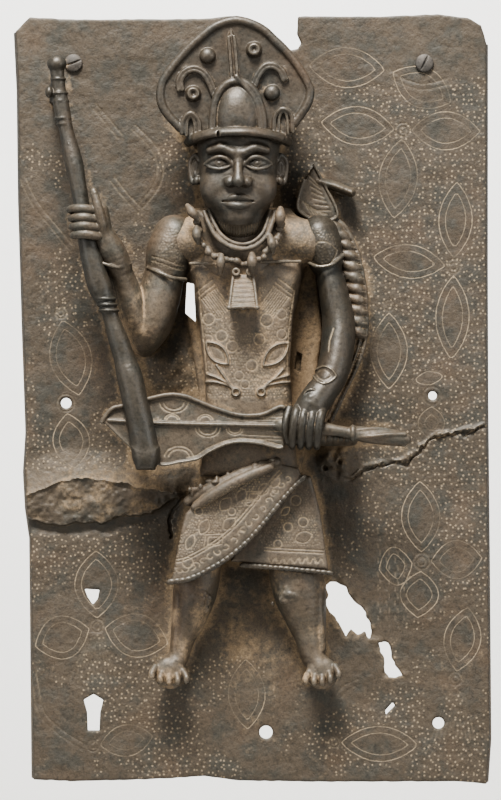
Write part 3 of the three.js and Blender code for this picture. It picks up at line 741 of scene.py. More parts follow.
def settled(thing: bpy.types.Object) -> bpy.types.Object:
    """The object with its modifiers worked into a plain mesh and taken off."""
    graph = bpy.context.evaluated_depsgraph_get()
    mesh = bpy.data.meshes.new_from_object(thing.evaluated_get(graph))
    thing.modifiers.clear()
    thing.data = mesh
    return thing


def to_metres(points: Array) -> Array:
    """Rows of x, h, z in millimetres as x, y, z in metres."""
    return np.column_stack([points[:, 0], -(PLATE_THICKNESS + points[:, 1]), points[:, 2]]) * MILLIMETRE


def vertices_of(thing: bpy.types.Object) -> Array:
    """A mesh's points as rows of x, h, z in millimetres."""
    flat = np.empty(len(thing.data.vertices) * 3, np.float32)
    thing.data.vertices.foreach_get("co", flat)
    rows = flat.reshape(-1, 3).astype(float) / MILLIMETRE
    return np.column_stack([rows[:, 0], -rows[:, 1] - PLATE_THICKNESS, rows[:, 2]])


def marked(thing: bpy.types.Object, mark: Mark, values: Array) -> None:
    """Writes one of the finish's numbers on a mesh."""
    layer = thing.data.attributes.new(mark.value, "FLOAT", "POINT")
    layer.data.foreach_set("value", np.ascontiguousarray(values, np.float32))


@dataclass
class Casting:
    """A part of the casting: it shapes its solid, and then becomes a dressed piece."""

    name: str
    low: Row
    high: Row
    finish: Patina
    most_faces: int
    cell: float = 0.5
    seed: int = 1
    rooted: bool = True
    solid: Solid = field(init=False)
    # earth over x and z; on the plate it also holds painted light over two shadows
    earth: Array | None = field(init=False, default=None)

    def build(self) -> None:
        """Shapes the solid."""
        cell = self.cell * 1
        self.solid = Solid(self.low, self.high, cell, self.seed)
        self.shape()
        if self.rooted:
            self.solid.plant()
        self.solid.seal()

    def shape(self) -> None:
        """Adds the piece's own forms to the solid."""
        raise NotImplementedError

    def meshed(self, distance: Array, name: str) -> bpy.types.Object:
        """The surface where the distances are 0, thinned to the piece's own number of faces."""
        grid = vdb.FloatGrid(FAR)
        grid.copyFromArray(np.ascontiguousarray(distance, np.float32))
        points, quads = grid.convertToQuads(isovalue=0.0)
        places = self.solid.low + points * self.solid.cell
        thing = mesh_object(name, to_metres(places), quads[:, ::-1].astype(np.int32))
        if 2 * len(quads) > self.most_faces:
            thin = thing.modifiers.new("thin", "DECIMATE")
            thin.ratio = self.most_faces / (2 * len(quads))
            thing = settled(thing)
        return thing

    def dress(self, relief: ReliefMap, materials: dict[str, bpy.types.Material]) -> list[bpy.types.Object]:
        """Makes the mesh and gives it its finish.

        Args:
            relief: the whole relief's heights.
            materials: the finishes by name.

        Returns:
            The finished pieces.
        """
        thing = self.meshed(self.solid.distance, self.name)
        self.finish_piece(thing, relief, materials)
        return [thing]

    def finish_piece(self, thing: bpy.types.Object, relief: ReliefMap,
                     materials: dict[str, bpy.types.Material]) -> None:
        """Writes the finish's numbers, sets the material and says what the piece stands for."""
        solid = self.solid
        points = vertices_of(thing)
        cells = (points - solid.low) / solid.cell
        near = max(1, round(0.8 / solid.cell))
        bend = sampled(blurred(solid.distance, near), cells) / 0.3
        marked(thing, Mark.RIDGE, np.clip(bend - 0.25, 0, 1))
        marked(thing, Mark.HOLLOW, np.clip(-bend - 0.1, 0, 1))
        marked(thing, Mark.SHELTER, relief.shelter(points))
        marked(thing, Mark.FILL, sampled(solid.chasing.fill, cells[:, [0, 2]]) * (points[:, 1] > FRONT_LEVEL))
        earth = np.zeros(len(points)) if self.earth is None else sampled(self.earth, cells[:, [0, 2]])
        marked(thing, Mark.EARTH, earth)
        thing.data.materials.append(materials[self.finish.name])
        thing.data.shade_smooth()
        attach(thing, "root")
        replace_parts(thing, "plaque")
        log.info("%s: %d faces", thing.name, len(thing.data.polygons))


# ---- the plate ----

LEFT_EDGE = [
    (-130.8, -228.6), (-131.6, -150), (-132.2, -84), (-134.8, -66), (-136, -44), (-134.5, -20), (-136.6, 39),
    (-139, 120), (-139.8, 186), (-141.5, 221)]
RIGHT_EDGE = [(141.4, 214), (141.3, 80), (141.6, 0), (142.6, -100), (143.4, -205), (141.6, -231.2)]
TOP_EDGE = [
    (-133, 229.4), (-105, 228), (-59, 228.4), (-28, 228.6), (-11, 230.4), (-6, 228), (-2, 219), (6, 212),
    (14, 208), (28, 210.5), (29.8, 213.6), (27.2, 219), (27.8, 230), (80, 230), (111.6, 231.3),
    (130.2, 229.1), (138.5, 224.5)]
FOOT_EDGE = [(122, -229.8), (39, -230.2), (-7, -229.4), (-28, -226.8), (-60, -228.6), (-109, -229.8)]
ROUND_HOLES = [(-111, -2.5, 3.2), (109, 2, 2.6), (9, -200, 4), (112.5, -194.5, 3.5), (-106.5, 201.5, 2.8),
               (104, 201.5, 2.8)]
TORN_HOLES = [
    [(-98, -199), (-91, -199), (-90.5, -188), (-88.6, -180.5), (-94.5, -177), (-100.5, -180.5),
     (-98.4, -188)],
    [(47.5, -109.5), (52, -110.5), (57, -113), (60, -119), (65, -124), (68.5, -128), (72.5, -137),
     (71, -143.5), (68, -140), (64, -142), (60, -138), (57, -142), (53, -136), (51, -131.5), (47, -127),
     (44.5, -121.5), (46.5, -117), (45, -112.5)],
    [(75.8, -145.5), (82.5, -146.5), (84, -153), (86, -159.5), (92, -166.5), (82.5, -167.5), (80.5, -162),
     (79.5, -155.5)],
    [(-100, -114), (-91, -114.5), (-92, -120), (-95, -123.5), (-98, -119)],
    [(81, -189.5), (86.5, -184), (85, -182), (80.5, -187)],
    [(-38.5, 70), (-34, 69), (-33, 46), (-39.5, 51.5)],
    [(27.5, 28), (30.5, 26.5), (29.5, 16), (26, 18)]]
OPEN_HOLES = TORN_HOLES[:6]  # the last one is only a pit under the sword arm
BESIDE_LEG = TORN_HOLES[1:3]
STAFF_SLIT, SWORD_SLIT = TORN_HOLES[5:]


@dataclass(frozen=True)
class Flower:
    """An engraved flower: a small double ring with long pointed petals, each cut with two outlines."""

    x: float
    z: float
    ring: float
    tips: tuple[tuple[float, float], ...]
    half_width: float = 10.5

    def petals(self) -> list[tuple[Row, Row]]:
        """Where each petal starts and ends."""
        found = []
        for tx, tz in self.tips:
            length = math.hypot(tx - self.x, tz - self.z)
            part = (self.ring + 1.0) / length
            found.append(((self.x + (tx - self.x) * part, self.z + (tz - self.z) * part), (tx, tz)))
        return found


FLOWERS = [
    Flower(91.2, 161.4, 4.2, ((42, 166.2), (137.4, 160.8), (85.8, 108.6)), 11.5),
    Flower(82.8, 197.4, 1.6, ((34.8, 200.4), (120, 178)), 12),
    Flower(121.6, 79.5, 4.2, ((123.6, 130.2), (73.2, 85.2), (120.3, 24)), 10),
    Flower(82.8, 56, 3.2, ((82.8, 6),), 11),
    Flower(108.6, 2, 5.5, ((106.2, 16.8), (108, -24)), 8),
    Flower(102.4, -97.5, 4.8, ((101.4, -49.2), (138.6, -95.4), (76.8, -102), (100, -131)), 11.5),
    Flower(122.6, -168, 3.9, ((130.2, -124.8),), 11),
    Flower(-92.4, -136.2, 3.9, ((-129.6, -148.2), (-49.8, -146.4), (-93, -91)), 13),
    Flower(-111, -2.4, 5.2, ((-105.6, -41.4),), 11),
    Flower(-114, 51.6, 3.4, ((-103.2, 2.4),), 12.5),
    Flower(-94.8, -208.2, 3.4, ((-58.8, -202.2),), 9.5),
    Flower(-3.2, -152.2, 3, ((-2, -198),), 11),
    Flower(50, -206, 3.2, ((100.2, -207.6),), 10.5)]


@dataclass
class Plate(Casting):
    """The thin plate, with its flanges, holes, torn band and crack, engraved all over its face."""

    flange_depth: float = 10.0
    flange_thickness: float = 3.0
    flange_flare: float = 2.0
    groove: float = 0.95
    footing: Array | None = None
    face: Array = field(init=False)
    outline: Array = field(init=False)
    ground: Array = field(init=False)

    def tear_line(self, x: Array) -> Array:
        """Where the plate is torn across, as z for each x: the band on the left, the crack on the right."""
        knots = [(-150, -74), (-135, -73), (-119, -73.5), (-107, -74), (-90, -76), (-80, -71), (-67, -67.5),
                 (-51, -63.5), (-40, -58), (60, -46), (79, -40), (94, -37.5), (104, -29), (110, -21.5),
                 (122, -21.5), (140, -17.5), (150, -17)]
        return np.interp(x, *zip(*knots))

    def face_height(self, x: Array, z: Array) -> Array:
        """The height of the plate's face before it is engraved."""
        rng = self.solid.rng
        shape, cell = (x.size, z.size), self.solid.cell
        face = 0.9 * unevenness(shape, cell, 60, rng) + 0.35 * unevenness(shape, cell, 17, rng)
        face += 0.16 * unevenness(shape, cell, 5, rng) + 0.1 * unevenness(shape, cell, 1.7, rng)
        ragged = (self.tear_line(x) + 2.2 * unevenness(shape, cell, 9, rng)
                  + 0.8 * unevenness(shape, cell, 3, rng))
        lip = np.clip((x - 56) / 6, 0, 1) * np.clip((142 - x) / 4, 0, 1)
        above = z - ragged - lip * 1.3 * unevenness(shape, cell, 2.6, rng)
        band = np.clip((x + 138) / 4, 0, 1) * np.clip((-36 - x) / 8, 0, 1)
        over = (z - self.fold_line(x) - 1.1 * unevenness(shape, cell, 6, rng)
                - 0.7 * unevenness(shape, cell, 2, rng))
        crags = (0.9 * unevenness(shape, cell, 10, rng) + 0.45 * unevenness(shape, cell, 4, rng)
                 + 0.45 * unevenness(shape, cell, 1.8, rng))
        sheet = np.where(over > 0, 5.2 * np.clip(1 - over / 20, 0, 1) ** 1.4,
                         3.6 + 1.5 * np.clip(above / 26, 0, 1) + crags)
        sheet += 0.9 * np.exp(-(over / 0.9) ** 2)
        face += band * sheet * np.clip(above / 1.2 + 1, 0, 1) ** 2
        face -= 1.2 * band * np.exp(-((above + 3.5) / 3.0) ** 2)
        broken = np.clip(0.6 + 0.9 * unevenness(shape, cell, 5, rng), 0.1, 1.4)
        face += lip * 1.9 * broken * np.exp(-((above - 1.2) / 1.5) ** 2)
        face -= lip * 1.6 * np.exp(-((above + 1.0) / 0.8) ** 2)
        lump = np.hypot((x - 52) / 10.5, (z + 35) / 13)
        crust = np.clip(1.25 - lump, 0, 1)
        face += crust * (5.2 + 3.6 * unevenness(shape, cell, 6, rng) + 1.8
                         * unevenness(shape, cell, 2.4, rng))
        torn = sum(np.exp(-(outline_distance(x, z, hole) / 3.0) ** 2) for hole in BESIDE_LEG)
        face += torn * 0.9 * unevenness(shape, cell, 4, rng)
        web = np.exp(-((x + 53) / 17) ** 2 - ((z - 14) / 17) ** 2)
        face += web * (8 + 1.2 * unevenness(shape, cell, 6, rng))
        for px, pz, radius in ((44.4, -41.4, 1.7), (53, -37.6, 1.5)):
            face -= 4.5 * np.clip(1.15 - np.hypot(x - px, z - pz) / radius, 0, 1)
        slope = band * (above > 0)
        mottled = np.clip(0.5 + 0.9 * unevenness(shape, cell, 7, rng), 0, 1)
        # the earth on the web under the bent arm is partly crust and partly painted light that lifts the
        # arm's shadow
        self.earth = np.clip(slope * np.where(over > 0, 0.65 * np.clip(1 - over / 24, 0, 1),
                                              0.75 * mottled - 0.1)
                             + crust * 0.6 + web * 0.6 + lip * np.exp(-(above / 6) ** 2) * 0.35 * broken
                             + torn * 0.4, 0, 1)
        if self.footing is not None:
            soft = blurred(blurred(self.footing, 2), 2)
            columns = x.ravel() - MAP_CORNER[0], z.ravel() - MAP_CORNER[1]
            grid = np.stack(np.meshgrid(*columns, indexing="ij"), -1).reshape(-1, 2)
            near = sampled(soft, grid).reshape(shape)
            face += 2.6 * np.clip(near * 1.6, 0, 1) ** 1.5
            wide = sampled(blurred(blurred(self.footing, 6), 8), grid).reshape(shape)
            self.earth = np.clip(self.earth + 0.5 * np.clip(wide * 2.2, 0, 1), 0, 1)
        self.earth = (self.earth + self.tone(x, z)).astype(np.float32)
        return face

    def fold_line(self, x: Array) -> Array:
        """The upper edge of the torn band, as z for each x."""
        knots = [(-136, -58), (-126, -53.5), (-117, -49.6), (-107, -48), (-95, -48.4), (-84, -49.6),
                 (-70, -52), (-55, -55), (-40, -57)]
        return np.interp(x, *zip(*knots))

    def tone(self, x: Array, z: Array) -> Array:
        """How much less earth lies on the top and the right edge, and how much more towards the foot, with a
        pale patch between the legs that is partly crust and partly painted light over the skirt's shadow.
        """
        top = np.clip((z - 20) / 150, 0, 1)
        right = np.clip((x - 70) / 60, 0, 1) * np.clip((z + 120) / 60, 0, 1)
        # painted light: a pale patch between the legs that lifts the shadow cast by the skirt, partly crust
        # as well
        between = np.exp(-((x + 1) / 24) ** 2 - ((z + 145) / 34) ** 2)
        return -0.34 * top - 0.14 * right + 0.1 * np.clip((-100 - z) / 60, 0, 1) + 0.55 * between

    def engrave(self) -> None:
        """Draws the flowers, cuts their rings and strokes, and says where the ground is dotted."""
        chasing, rng, reach = self.solid.chasing, self.solid.rng, 8.0
        self.outline = np.full(chasing.depth.shape, reach, np.float32)
        for flower in FLOWERS:
            for foot, tip in flower.petals():
                corners = petal_outline(foot, tip, flower.half_width)
                cut, x, z = chasing.window(corners.min(0) - reach, corners.max(0) + reach)
                self.outline[cut] = np.minimum(self.outline[cut], outline_distance(x, z, corners))
            for radius in (flower.ring, flower.ring * 0.5):
                chasing.line(circle(flower.x, flower.z, radius), self.groove, 0.3, 0.6)
        for angle in range(-5, 6):
            lean = angle * 1.9
            chasing.line([(-93 + lean * 0.5, -143), (-95 + lean * 1.5, -170)], 0.9, 0.15, 0.22)
            chasing.line([(123 + lean * 0.5, -176), (121 + lean * 1.4, -204)], 0.9, 0.15, 0.3)
        for row in range(14):
            for column in range(4):
                x = 76 + 5.2 * column + 1.5 * (row % 2)
                z = -78 - 4.3 * row
                chasing.line([(x, z), (x + 0.3, z - 2.6)], 0.8, 0.3, 0.7)
        for curve in ([(-135.6, 133.2), (-128, 118), (-116, 103), (-107.4, 92.4)],
                      [(-69.6, 164.4), (-60, 155), (-54, 145.8), (-53, 134), (-57, 124.2), (-64.8, 114.6)],
                      [(-93, 177), (-86, 169), (-77.4, 158.4)], [(-82.2, 133.2), (-74, 123), (-64.8, 113.4)],
                      [(-129, -163.2), (-127, -176), (-124.2, -187.8), (-113, -199), (-97.8, -208.2)],
                      [(51.6, -177), (56, -172), (64.2, -168)],
                      [(83.4, 197.4), (92, 192), (104, 189), (118, 192)]):
            line = smooth_line(curve, 22)
            chasing.line(line, self.groove, 0.25, 0.55)
            chasing.line(beside(line, 3.4), self.groove * 0.85, 0.2, 0.45)
        kept = [[(-136, -44), (-100, -44), (-60, -44), (-36, -40), (-36, -66), (-60, -69), (-90, -80),
                 (-135, -77)],
                [(40, -12), (62, -18), (64, -60), (40, -60)]]
        kept += [[(x + 7 * c, z + 7 * s) for c, s in ((1, 0), (0, 1), (-1, 0), (0, -1))]
                 for x, z, _ in ROUND_HOLES]
        kept.append([(-150, 176), (150, 196), (150, 240), (-150, 240)])
        shape, cell = chasing.depth.shape, self.solid.cell
        lasting = 0.52 + 0.42 * unevenness(shape, cell, 34, rng) + 0.26 * unevenness(shape, cell, 8, rng)
        lasting += 0.4 * np.clip((chasing.x - 50) / 40, 0, 1) * np.clip((chasing.z + 110) / 40, 0, 1)
        lasting -= 0.22 * np.clip(chasing.z / 60, 0, 1) * np.clip((20 - chasing.x) / 40, 0, 1)
        lasting -= 0.2 * np.exp(-((chasing.x / 34) ** 2 + ((chasing.z + 160) / 60) ** 2))
        self.ground = np.clip(lasting, 0, 1) * np.clip(self.outline / 1.8, 0, 1)
        for region in kept:
            self.ground *= np.clip(outline_distance(chasing.x, chasing.z, region) / 3, 0, 1)
        worn = 0.5 + 0.6 * unevenness(shape, cell, 24, rng)
        chasing.fill *= np.clip(worn + 0.2, 0.12, 1)

    def shape(self) -> None:
        """The plate with its flanges, as one solid."""
        solid = self.solid
        x, z = solid.x[:, 0], solid.z[:, 0]
        edge = LEFT_EDGE + TOP_EDGE + RIGHT_EDGE + FOOT_EDGE
        flat = (outline_distance(x, z, edge) + 0.35
                + 0.2 * unevenness((x.size, z.size), solid.cell, 4, solid.rng))
        for hx, hz, radius in ROUND_HOLES:
            flat = larger(flat, radius - np.hypot(x - hx, z - hz), 0.6)
        rough = 0.7 * unevenness((x.size, z.size), solid.cell, 3, solid.rng)
        for hole in OPEN_HOLES:
            flat = larger(flat, -outline_distance(x, z, hole) - rough * (len(hole) > 7), 0.6)
        self.face = self.face_height(x, z)
        self.engrave()
        self.face = self.face - solid.chasing.depth
        fissure = smooth_line([(-38, -56), (-46, -66.5), (-48.5, -72.5), (-47.5, -83)], 16)
        fissure += solid.rng.uniform(-0.9, 0.9, fissure.shape)
        crack = Chasing(x, z, solid.cell)
        crack.line(fissure, 2.2, 3.0, 0.0)
        self.face = np.maximum(self.face - crack.depth, 0.9 - PLATE_THICKNESS)
        body = larger(flat[:, None, :], solid.h - self.face[:, None, :], 1.2)
        solid.distance = larger(body, -PLATE_THICKNESS - solid.h, 0.8).astype(np.float32)
        for line, side in ((LEFT_EDGE, -1), (RIGHT_EDGE, 1)):
            self._add_flange(line, side)

    def _add_flange(self, line: Rows, side: int) -> None:
        """Adds the strip that is bent back along one side and leans outward."""
        solid = self.solid
        inner = [(x - side * self.flange_thickness, z) for x, z in reversed(line)]
        outline = list(line) + inner
        far = np.array(outline)
        first, last = np.searchsorted(solid.x.ravel(), (far[:, 0].min() - 5, far[:, 0].max() + 5))
        x, z = solid.x[first:last, 0], solid.z[0]
        back = -PLATE_THICKNESS - self.flange_depth
        for level, height in enumerate(solid.h.ravel()):
            if height > -0.5:
                break
            lean = side * self.flange_flare * np.clip((-PLATE_THICKNESS - height) / self.flange_depth, 0, 1)
            flat = outline_distance(x - lean, z, outline) + 0.2
            away = larger(larger(flat, np.full_like(flat, height + 0.8), 0.8),
                          np.full_like(flat, back - height), 1.2)
            here = solid.distance[first:last, level]
            solid.distance[first:last, level] = smaller(here, away, 0.5)

    def build(self) -> None:
        """Shapes the solid, which is not sunk in anything."""
        self.solid = Solid(self.low, self.high, self.cell * (1), self.seed)
        self.shape()
        self.solid.seal()

    def dress(self, relief: ReliefMap, materials: dict[str, bpy.types.Material]) -> list[bpy.types.Object]:
        """Makes the plate's upper and lower part, which meet along the tear.

        Args:
            relief: the whole relief's heights.
            materials: the finishes by name.

        Returns:
            The two pieces.
        """
        solid, overlap = self.solid, 0.5
        over = (solid.z - self.tear_line(solid.x)).astype(np.float32)
        pieces = []
        for name, away in (("plate_above_tear", -over - overlap), ("plate_below_tear", over - overlap)):
            part = np.maximum(solid.distance, away)
            thing = self.meshed(part, name)
            self.finish_piece(thing, relief, materials)
            pieces.append(thing)
        return pieces

    def finish_piece(self, thing: bpy.types.Object, relief: ReliefMap,
                     materials: dict[str, bpy.types.Material]) -> None:
        """Finishes a part of the plate, and writes where its face is engraved."""
        super().finish_piece(thing, relief, materials)
        points = vertices_of(thing)
        cells, front = (points - self.solid.low)[:, [0, 2]] / self.solid.cell, points[:, 1] > FRONT_LEVEL
        marked(thing, Mark.OUTLINE, np.where(front, sampled(self.outline, cells), self.outline.max()))
        marked(thing, Mark.GROUND, sampled(self.ground, cells) * front)


# ---- the headdress and the head ----

FAN_LEFT = [(-36, 152), (-42, 160), (-48, 166.5), (-52, 172.5), (-53.5, 179), (-52.5, 186), (-48.5, 193),
            (-43.5, 199.5), (-36.5, 207), (-30, 213), (-22.5, 219), (-14, 222.6)]
FAN_RIGHT = [(-5.5, 223), (6, 218.5), (14, 211.5), (21.5, 204), (27.5, 196.5), (32.5, 188), (34.8, 182),
             (34, 176), (31, 170), (26, 163), (21.5, 152)]


@dataclass
class Headdress(Casting):
    """The upright fan with its rolled rim, stem, arch, hooks and bosses, and the brim that juts out below."""

    back: float = 34.5
    front: float = 43.0
    rim: float = 2.6

    def shape(self) -> None:
        """Builds the fan from its core outwards."""
        solid = self.solid
        fan = smooth_line(FAN_LEFT + FAN_RIGHT, 90)
        core = smooth_line([(-34, 150), (-44, 170), (-42, 188), (-24, 203), (-9, 206), (4, 203), (20, 192),
                            (25, 172), (17, 150)], 40)
        solid.slab(core, SUNK - 1, self.back + 2, 2.5, 0)
        solid.slab(fan, self.back, self._dish, 1.2, 2)
        solid.trace(fan[4:-4], self.front - 0.8, self.rim, 1.0)
        solid.ball(-7.8, self.front - 1.5, 166, 13.6, 10.5, 20, 1.2)
        self._ribs()
        self._bosses()
        self._brim()
        solid.weather(0.16, 0.09)

    def _dish(self, x: Array, z: Array) -> Array:
        """The fan's face, slightly hollow towards its middle."""
        away = np.hypot(x + 9, (z - 180) * 1.1)
        return self.front - 1.2 + 0.9 * np.clip(away / 42, 0, 1) ** 2

    def _ribs(self) -> None:
        """The stem, the arch and its cross strap, the hooks and the small arches over the brim."""
        solid, height = self.solid, self.front + 0.3
        stem = smooth_line([(-11.6, 213.5), (-10.6, 202), (-9.4, 186)], 12)
        solid.slab([(-14.2, 213), (-11.8, 218), (-9, 213.4), (-6.8, 187), (-12, 187)], self.back,
                   self.front + 1.8, 0.8, 0.8)
        for offset in (-1.6, 1.6):
            solid.trace(beside(stem, offset), height + 1.7, 1.1, 0.3)
        arch = smooth_line([(-23.5, 158), (-23.2, 166), (-22, 175), (-18.5, 182.6), (-13, 187), (-7.6, 188),
                            (-1.5, 186), (3, 181), (6, 174), (7.8, 166), (8, 158)], 44)
        solid.trace(beside(arch, 0.8), height + 1.8, 2.5, 0.5)
        cross = smooth_line([(-8.6, 190), (-6, 186.5), (-1.5, 181.5), (2.2, 175.5), (4.6, 168), (5.4, 158)],
                            24)
        solid.trace(cross, height + 3.4, 1.5, 0.4)
        hooks = ([(-21.5, 179.5), (-23.5, 185), (-26.5, 190.5), (-30.5, 193.8), (-35, 194.4), (-39.5, 192),
                  (-42, 187.5), (-41.6, 182.5)],
                 [(1.5, 184), (4, 190.5), (8, 195.5), (13, 196.4), (17.5, 193.6), (20, 188.5)])
        for hook in hooks:
            line = smooth_line(hook, 30)
            for offset in (-1.0, 1.0):
                solid.trace(beside(line, offset), height + 0.2, 1.5, 0.3)
        for x, wide, low, high in ((-35.5, 5.2, 157, 168.4), (19, 5.6, 158, 171)):
            arc = [(x - wide, height, low), (x - wide * 0.85, height + 0.3, high - 4),
                   (x, height + 0.8, high), (x + wide * 0.85, height + 0.3, high - 4),
                   (x + wide, height, low)]
            solid.tube(arc, 1.5, 0.3)
            inner = [(x + (px - x) * 0.5, ph, pz - 1.6) for px, ph, pz in arc]
            solid.tube(inner, 1.0, 0.3)

    def _bosses(self) -> None:
        """Four round bosses: two domed, two ringed and dimpled."""
        solid, height = self.solid, self.front - 0.4
        for x, z, ringed in ((-25.5, 202.4, False), (1.8, 206, True), (-34, 180, True), (12.4, 180.6, False)):
            solid.ball(x, height, z, 4.7, 3.8, 4.7, 0.6)
            if ringed:
                solid.ring(x, height + 3.0, z, 2.7, 1.0)
                solid.ball(x, height + 4.4, z, 1.5, 2.0, 1.5, 0.3, carve=True)

    def _brim(self) -> None:
        """The cap's brim, a broad ledge from ear to ear with a notch in its edge."""
        solid, reach, x0, z0 = self.solid, HEAD.half_width + 5, HEAD.x, HEAD.brim
        rows = []
        for part in np.linspace(-1, 1, 15):
            forward = math.sqrt(max(1 - 0.92 * part * part, 0))
            rows.append((x0 + reach * part, 27 + 26.5 * forward, z0 - 7.2 + 7.4 * forward, 2.7, 4.6))
        solid.limb(rows, 1.0, 60)
        lip = [(x, h + 3.4, z - 0.9, 1.9) for x, h, z, _, _ in rows[1:-1]]
        solid.limb(lip, 0.6, 60)
        solid.slab([(x0 - reach + 3, 151), (x0 - 14, 161), (x0, 163), (x0 + 14, 161), (x0 + reach - 3, 151),
                    (x0, 153)], 20, 47, 2, 1)
        solid.ball(x0 - 11.8, 57.5, 155.2, 0.8, 3.5, 2.4, 0.3, carve=True)


@dataclass(frozen=True)
class HeadSize:
    """The places on the head, the same as in the solids."""

    x: float = -7.5
    chin: float = 103.0
    brow: float = 145.0
    brim: float = 157.0
    half_width: float = 24.5
    front: float = 54.0


HEAD = HeadSize()


@dataclass
class Head(Casting):
    """A calm, general face on plain proportions, with a short ribbed beard under the chin."""

    def shape(self) -> None:
        """Models the head from the skull outwards."""
        solid, x = self.solid, HEAD.x
        eyes, nose, mouth = HEAD.brow - 6.5, HEAD.chin + 22, HEAD.chin + 13.2
        solid.limb([(x, 33, HEAD.chin + 3, 11.5, 15.5), (x, 33, HEAD.chin + 9, 15.5, 18.2),
                    (x, 33, HEAD.chin + 18, 20, 19.5), (x, 33, eyes - 4, 23.2, 19.8),
                    (x, 33, HEAD.brow + 3, 24.3, 20), (x, 32, HEAD.brim - 2, 24.2, 19)], 3)
        solid.slab([(x - 20, 98), (x + 20, 98), (x + 22, 154), (x - 22, 154)], SUNK - 1, 26, 5, 4)
        solid.ball(x, 44.5, HEAD.chin + 4.5, 8.2, 7.8, 6.2, 5)
        for side in (-1, 1):
            self._cheek_and_eye(side, eyes)
            self._ear(side, eyes)
        self._nose(nose)
        self._mouth(mouth)
        for side in (-1, 1):
            solid.limb([(x + side * 17, 49, HEAD.brow + 1.2, 1.9),
                        (x + side * 10, 52.2, HEAD.brow + 2.6, 2.3),
                        (x + side * 3, 53.2, HEAD.brow - 0.4, 2.0)], 3)
        self._beard()
        solid.weather(0.1, 0.06)

    def _cheek_and_eye(self, side: int, eyes: float) -> None:
        """One cheek, and one almond eye between its lids."""
        solid, x = self.solid, HEAD.x + side * 11.2
        solid.ball(HEAD.x + side * 13, 42.5, HEAD.chin + 21, 9.5, 8.5, 10.5, 5)
        solid.ball(x, 55.6, eyes, 9.0, 5.4, 5.6, 3, carve=True)
        solid.ball(x, 46.2, eyes, 7.6, 6.2, 4.6, 0.8)
        solid.ring(x, 51.8, eyes + 0.1, 2.1, 0.45, 0.3)
        solid.ball(x, 51.9, eyes + 0.1, 1.0, 0.8, 1.0, 0.3)
        upper = [(x - side * 7.8, 51.6, eyes - 0.8), (x - side * 4.6, 52.5, eyes + 2.3),
                 (x, 52.6, eyes + 3.7), (x + side * 4.8, 50.7, eyes + 2.2),
                 (x + side * 8.2, 47.6, eyes - 0.4)]
        lower = [(x - side * 7.8, 51.6, eyes - 0.8), (x - side * 4, 51.7, eyes - 2.7), (x, 51.6, eyes - 3.4),
                 (x + side * 4.6, 50.2, eyes - 2.5), (x + side * 8.2, 47.6, eyes - 0.4)]
        solid.tube(upper, 1.15, 0.5)
        solid.tube(lower, 0.95, 0.5)

    def _ear(self, side: int, eyes: float) -> None:
        """One ear: a rolled rim round a hollow."""
        solid, x, z = self.solid, HEAD.x + side * (HEAD.half_width + 0.6), eyes - 2.5
        solid.ball(x - side * 0.5, 29, z, 3.6, 8, 8.8, 2)
        rim = [(x - side * 1.5, 36.5, z - 6), (x + side * 1.6, 35, z - 8), (x + side * 3.2, 33.5, z - 2),
               (x + side * 3.0, 33, z + 5), (x, 35, z + 8.2), (x - side * 1.8, 37, z + 5)]
        solid.tube(rim, 1.5, 0.7)
        solid.ball(x + side * 0.4, 37.6, z + 0.5, 1.8, 2.4, 4.6, 0.8, carve=True)
        solid.ball(x - side * 0.6, 36.8, z - 7, 2.0, 2.2, 2.6, 1)

    def _nose(self, foot: float) -> None:
        """A straight, broad nose."""
        solid, x, front = self.solid, HEAD.x, HEAD.front
        solid.limb([(x, front - 2.6, HEAD.brow - 0.5, 2.3), (x, front - 0.2, HEAD.brow - 8, 2.3),
                    (x, front + 2, foot + 8, 2.7), (x, front + 3.4, foot + 2.8, 3.7)], 3)
        for side in (-1, 1):
            solid.ball(x + side * 5, front - 0.4, foot + 2.2, 3.3, 3.6, 2.9, 1.6)
            solid.limb([(x + side * 4, front + 1, foot + 5, 0.9), (x + side * 8, front - 1.6, foot + 4, 0.7),
                        (x + side * 9.2, front - 3, foot, 0.6)], 1.5)
            solid.ball(x + side * 3.4, front + 2.2, foot - 0.6, 1.5, 1.7, 1.1, 0.5, carve=True)

    def _mouth(self, middle: float) -> None:
        """Full closed lips."""
        solid, x, front = self.solid, HEAD.x, HEAD.front
        solid.ball(x, front - 7.5, middle, 13, 6.6, 7, 4)
        upper = [(x - 9.6, front - 5, middle, 0.9), (x - 5.4, front - 1.9, middle + 1.5, 1.8),
                 (x - 1.6, front - 0.7, middle + 2.3, 2.1), (x, front - 0.9, middle + 1.9, 2.1),
                 (x + 1.6, front - 0.7, middle + 2.3, 2.1), (x + 5.4, front - 1.9, middle + 1.5, 1.8),
                 (x + 9.6, front - 5, middle, 0.9)]
        lower = [(x - 8.6, front - 4.6, middle - 0.6, 0.9), (x - 5, front - 2.2, middle - 2, 2.0),
                 (x, front - 1.1, middle - 2.7, 2.5), (x + 5, front - 2.2, middle - 2, 2.0),
                 (x + 8.6, front - 4.6, middle - 0.6, 0.9)]
        solid.limb(upper, 0.5)
        solid.limb(lower, 0.5)
        solid.tube([(x - 10, front - 3.6, middle + 0.1), (x - 4, front + 0.3, middle - 0.1),
                    (x, front + 1.5, middle + 0.2), (x + 4, front + 0.3, middle - 0.1),
                    (x + 10, front - 3.6, middle + 0.1)], 0.7, 0.4, carve=True)

    def _beard(self) -> None:
        """The beard: a smooth apron under the jaw with fine upright lines."""
        solid, x = self.solid, HEAD.x + 0.8
        apron = smooth_line([(x - 14.5, 112), (x - 12.5, 103), (x - 8.5, 97), (x, 94.6), (x + 8.5, 97),
                             (x + 12.5, 103), (x + 14.5, 112)], 30)
        solid.slab(apron, 18, 45, 3.2, 2.5)
        for step in np.arange(-13.2, 13.3, 1.55):
            side = 1 - (step / 16) ** 2
            solid.chasing.line([(x + step, 94), (x + step * 1.03, 101.5 + 5.5 * (1 - side))], 0.95, 0.5, 0.5)
        solid.chase(30)


# ---- the chest ----

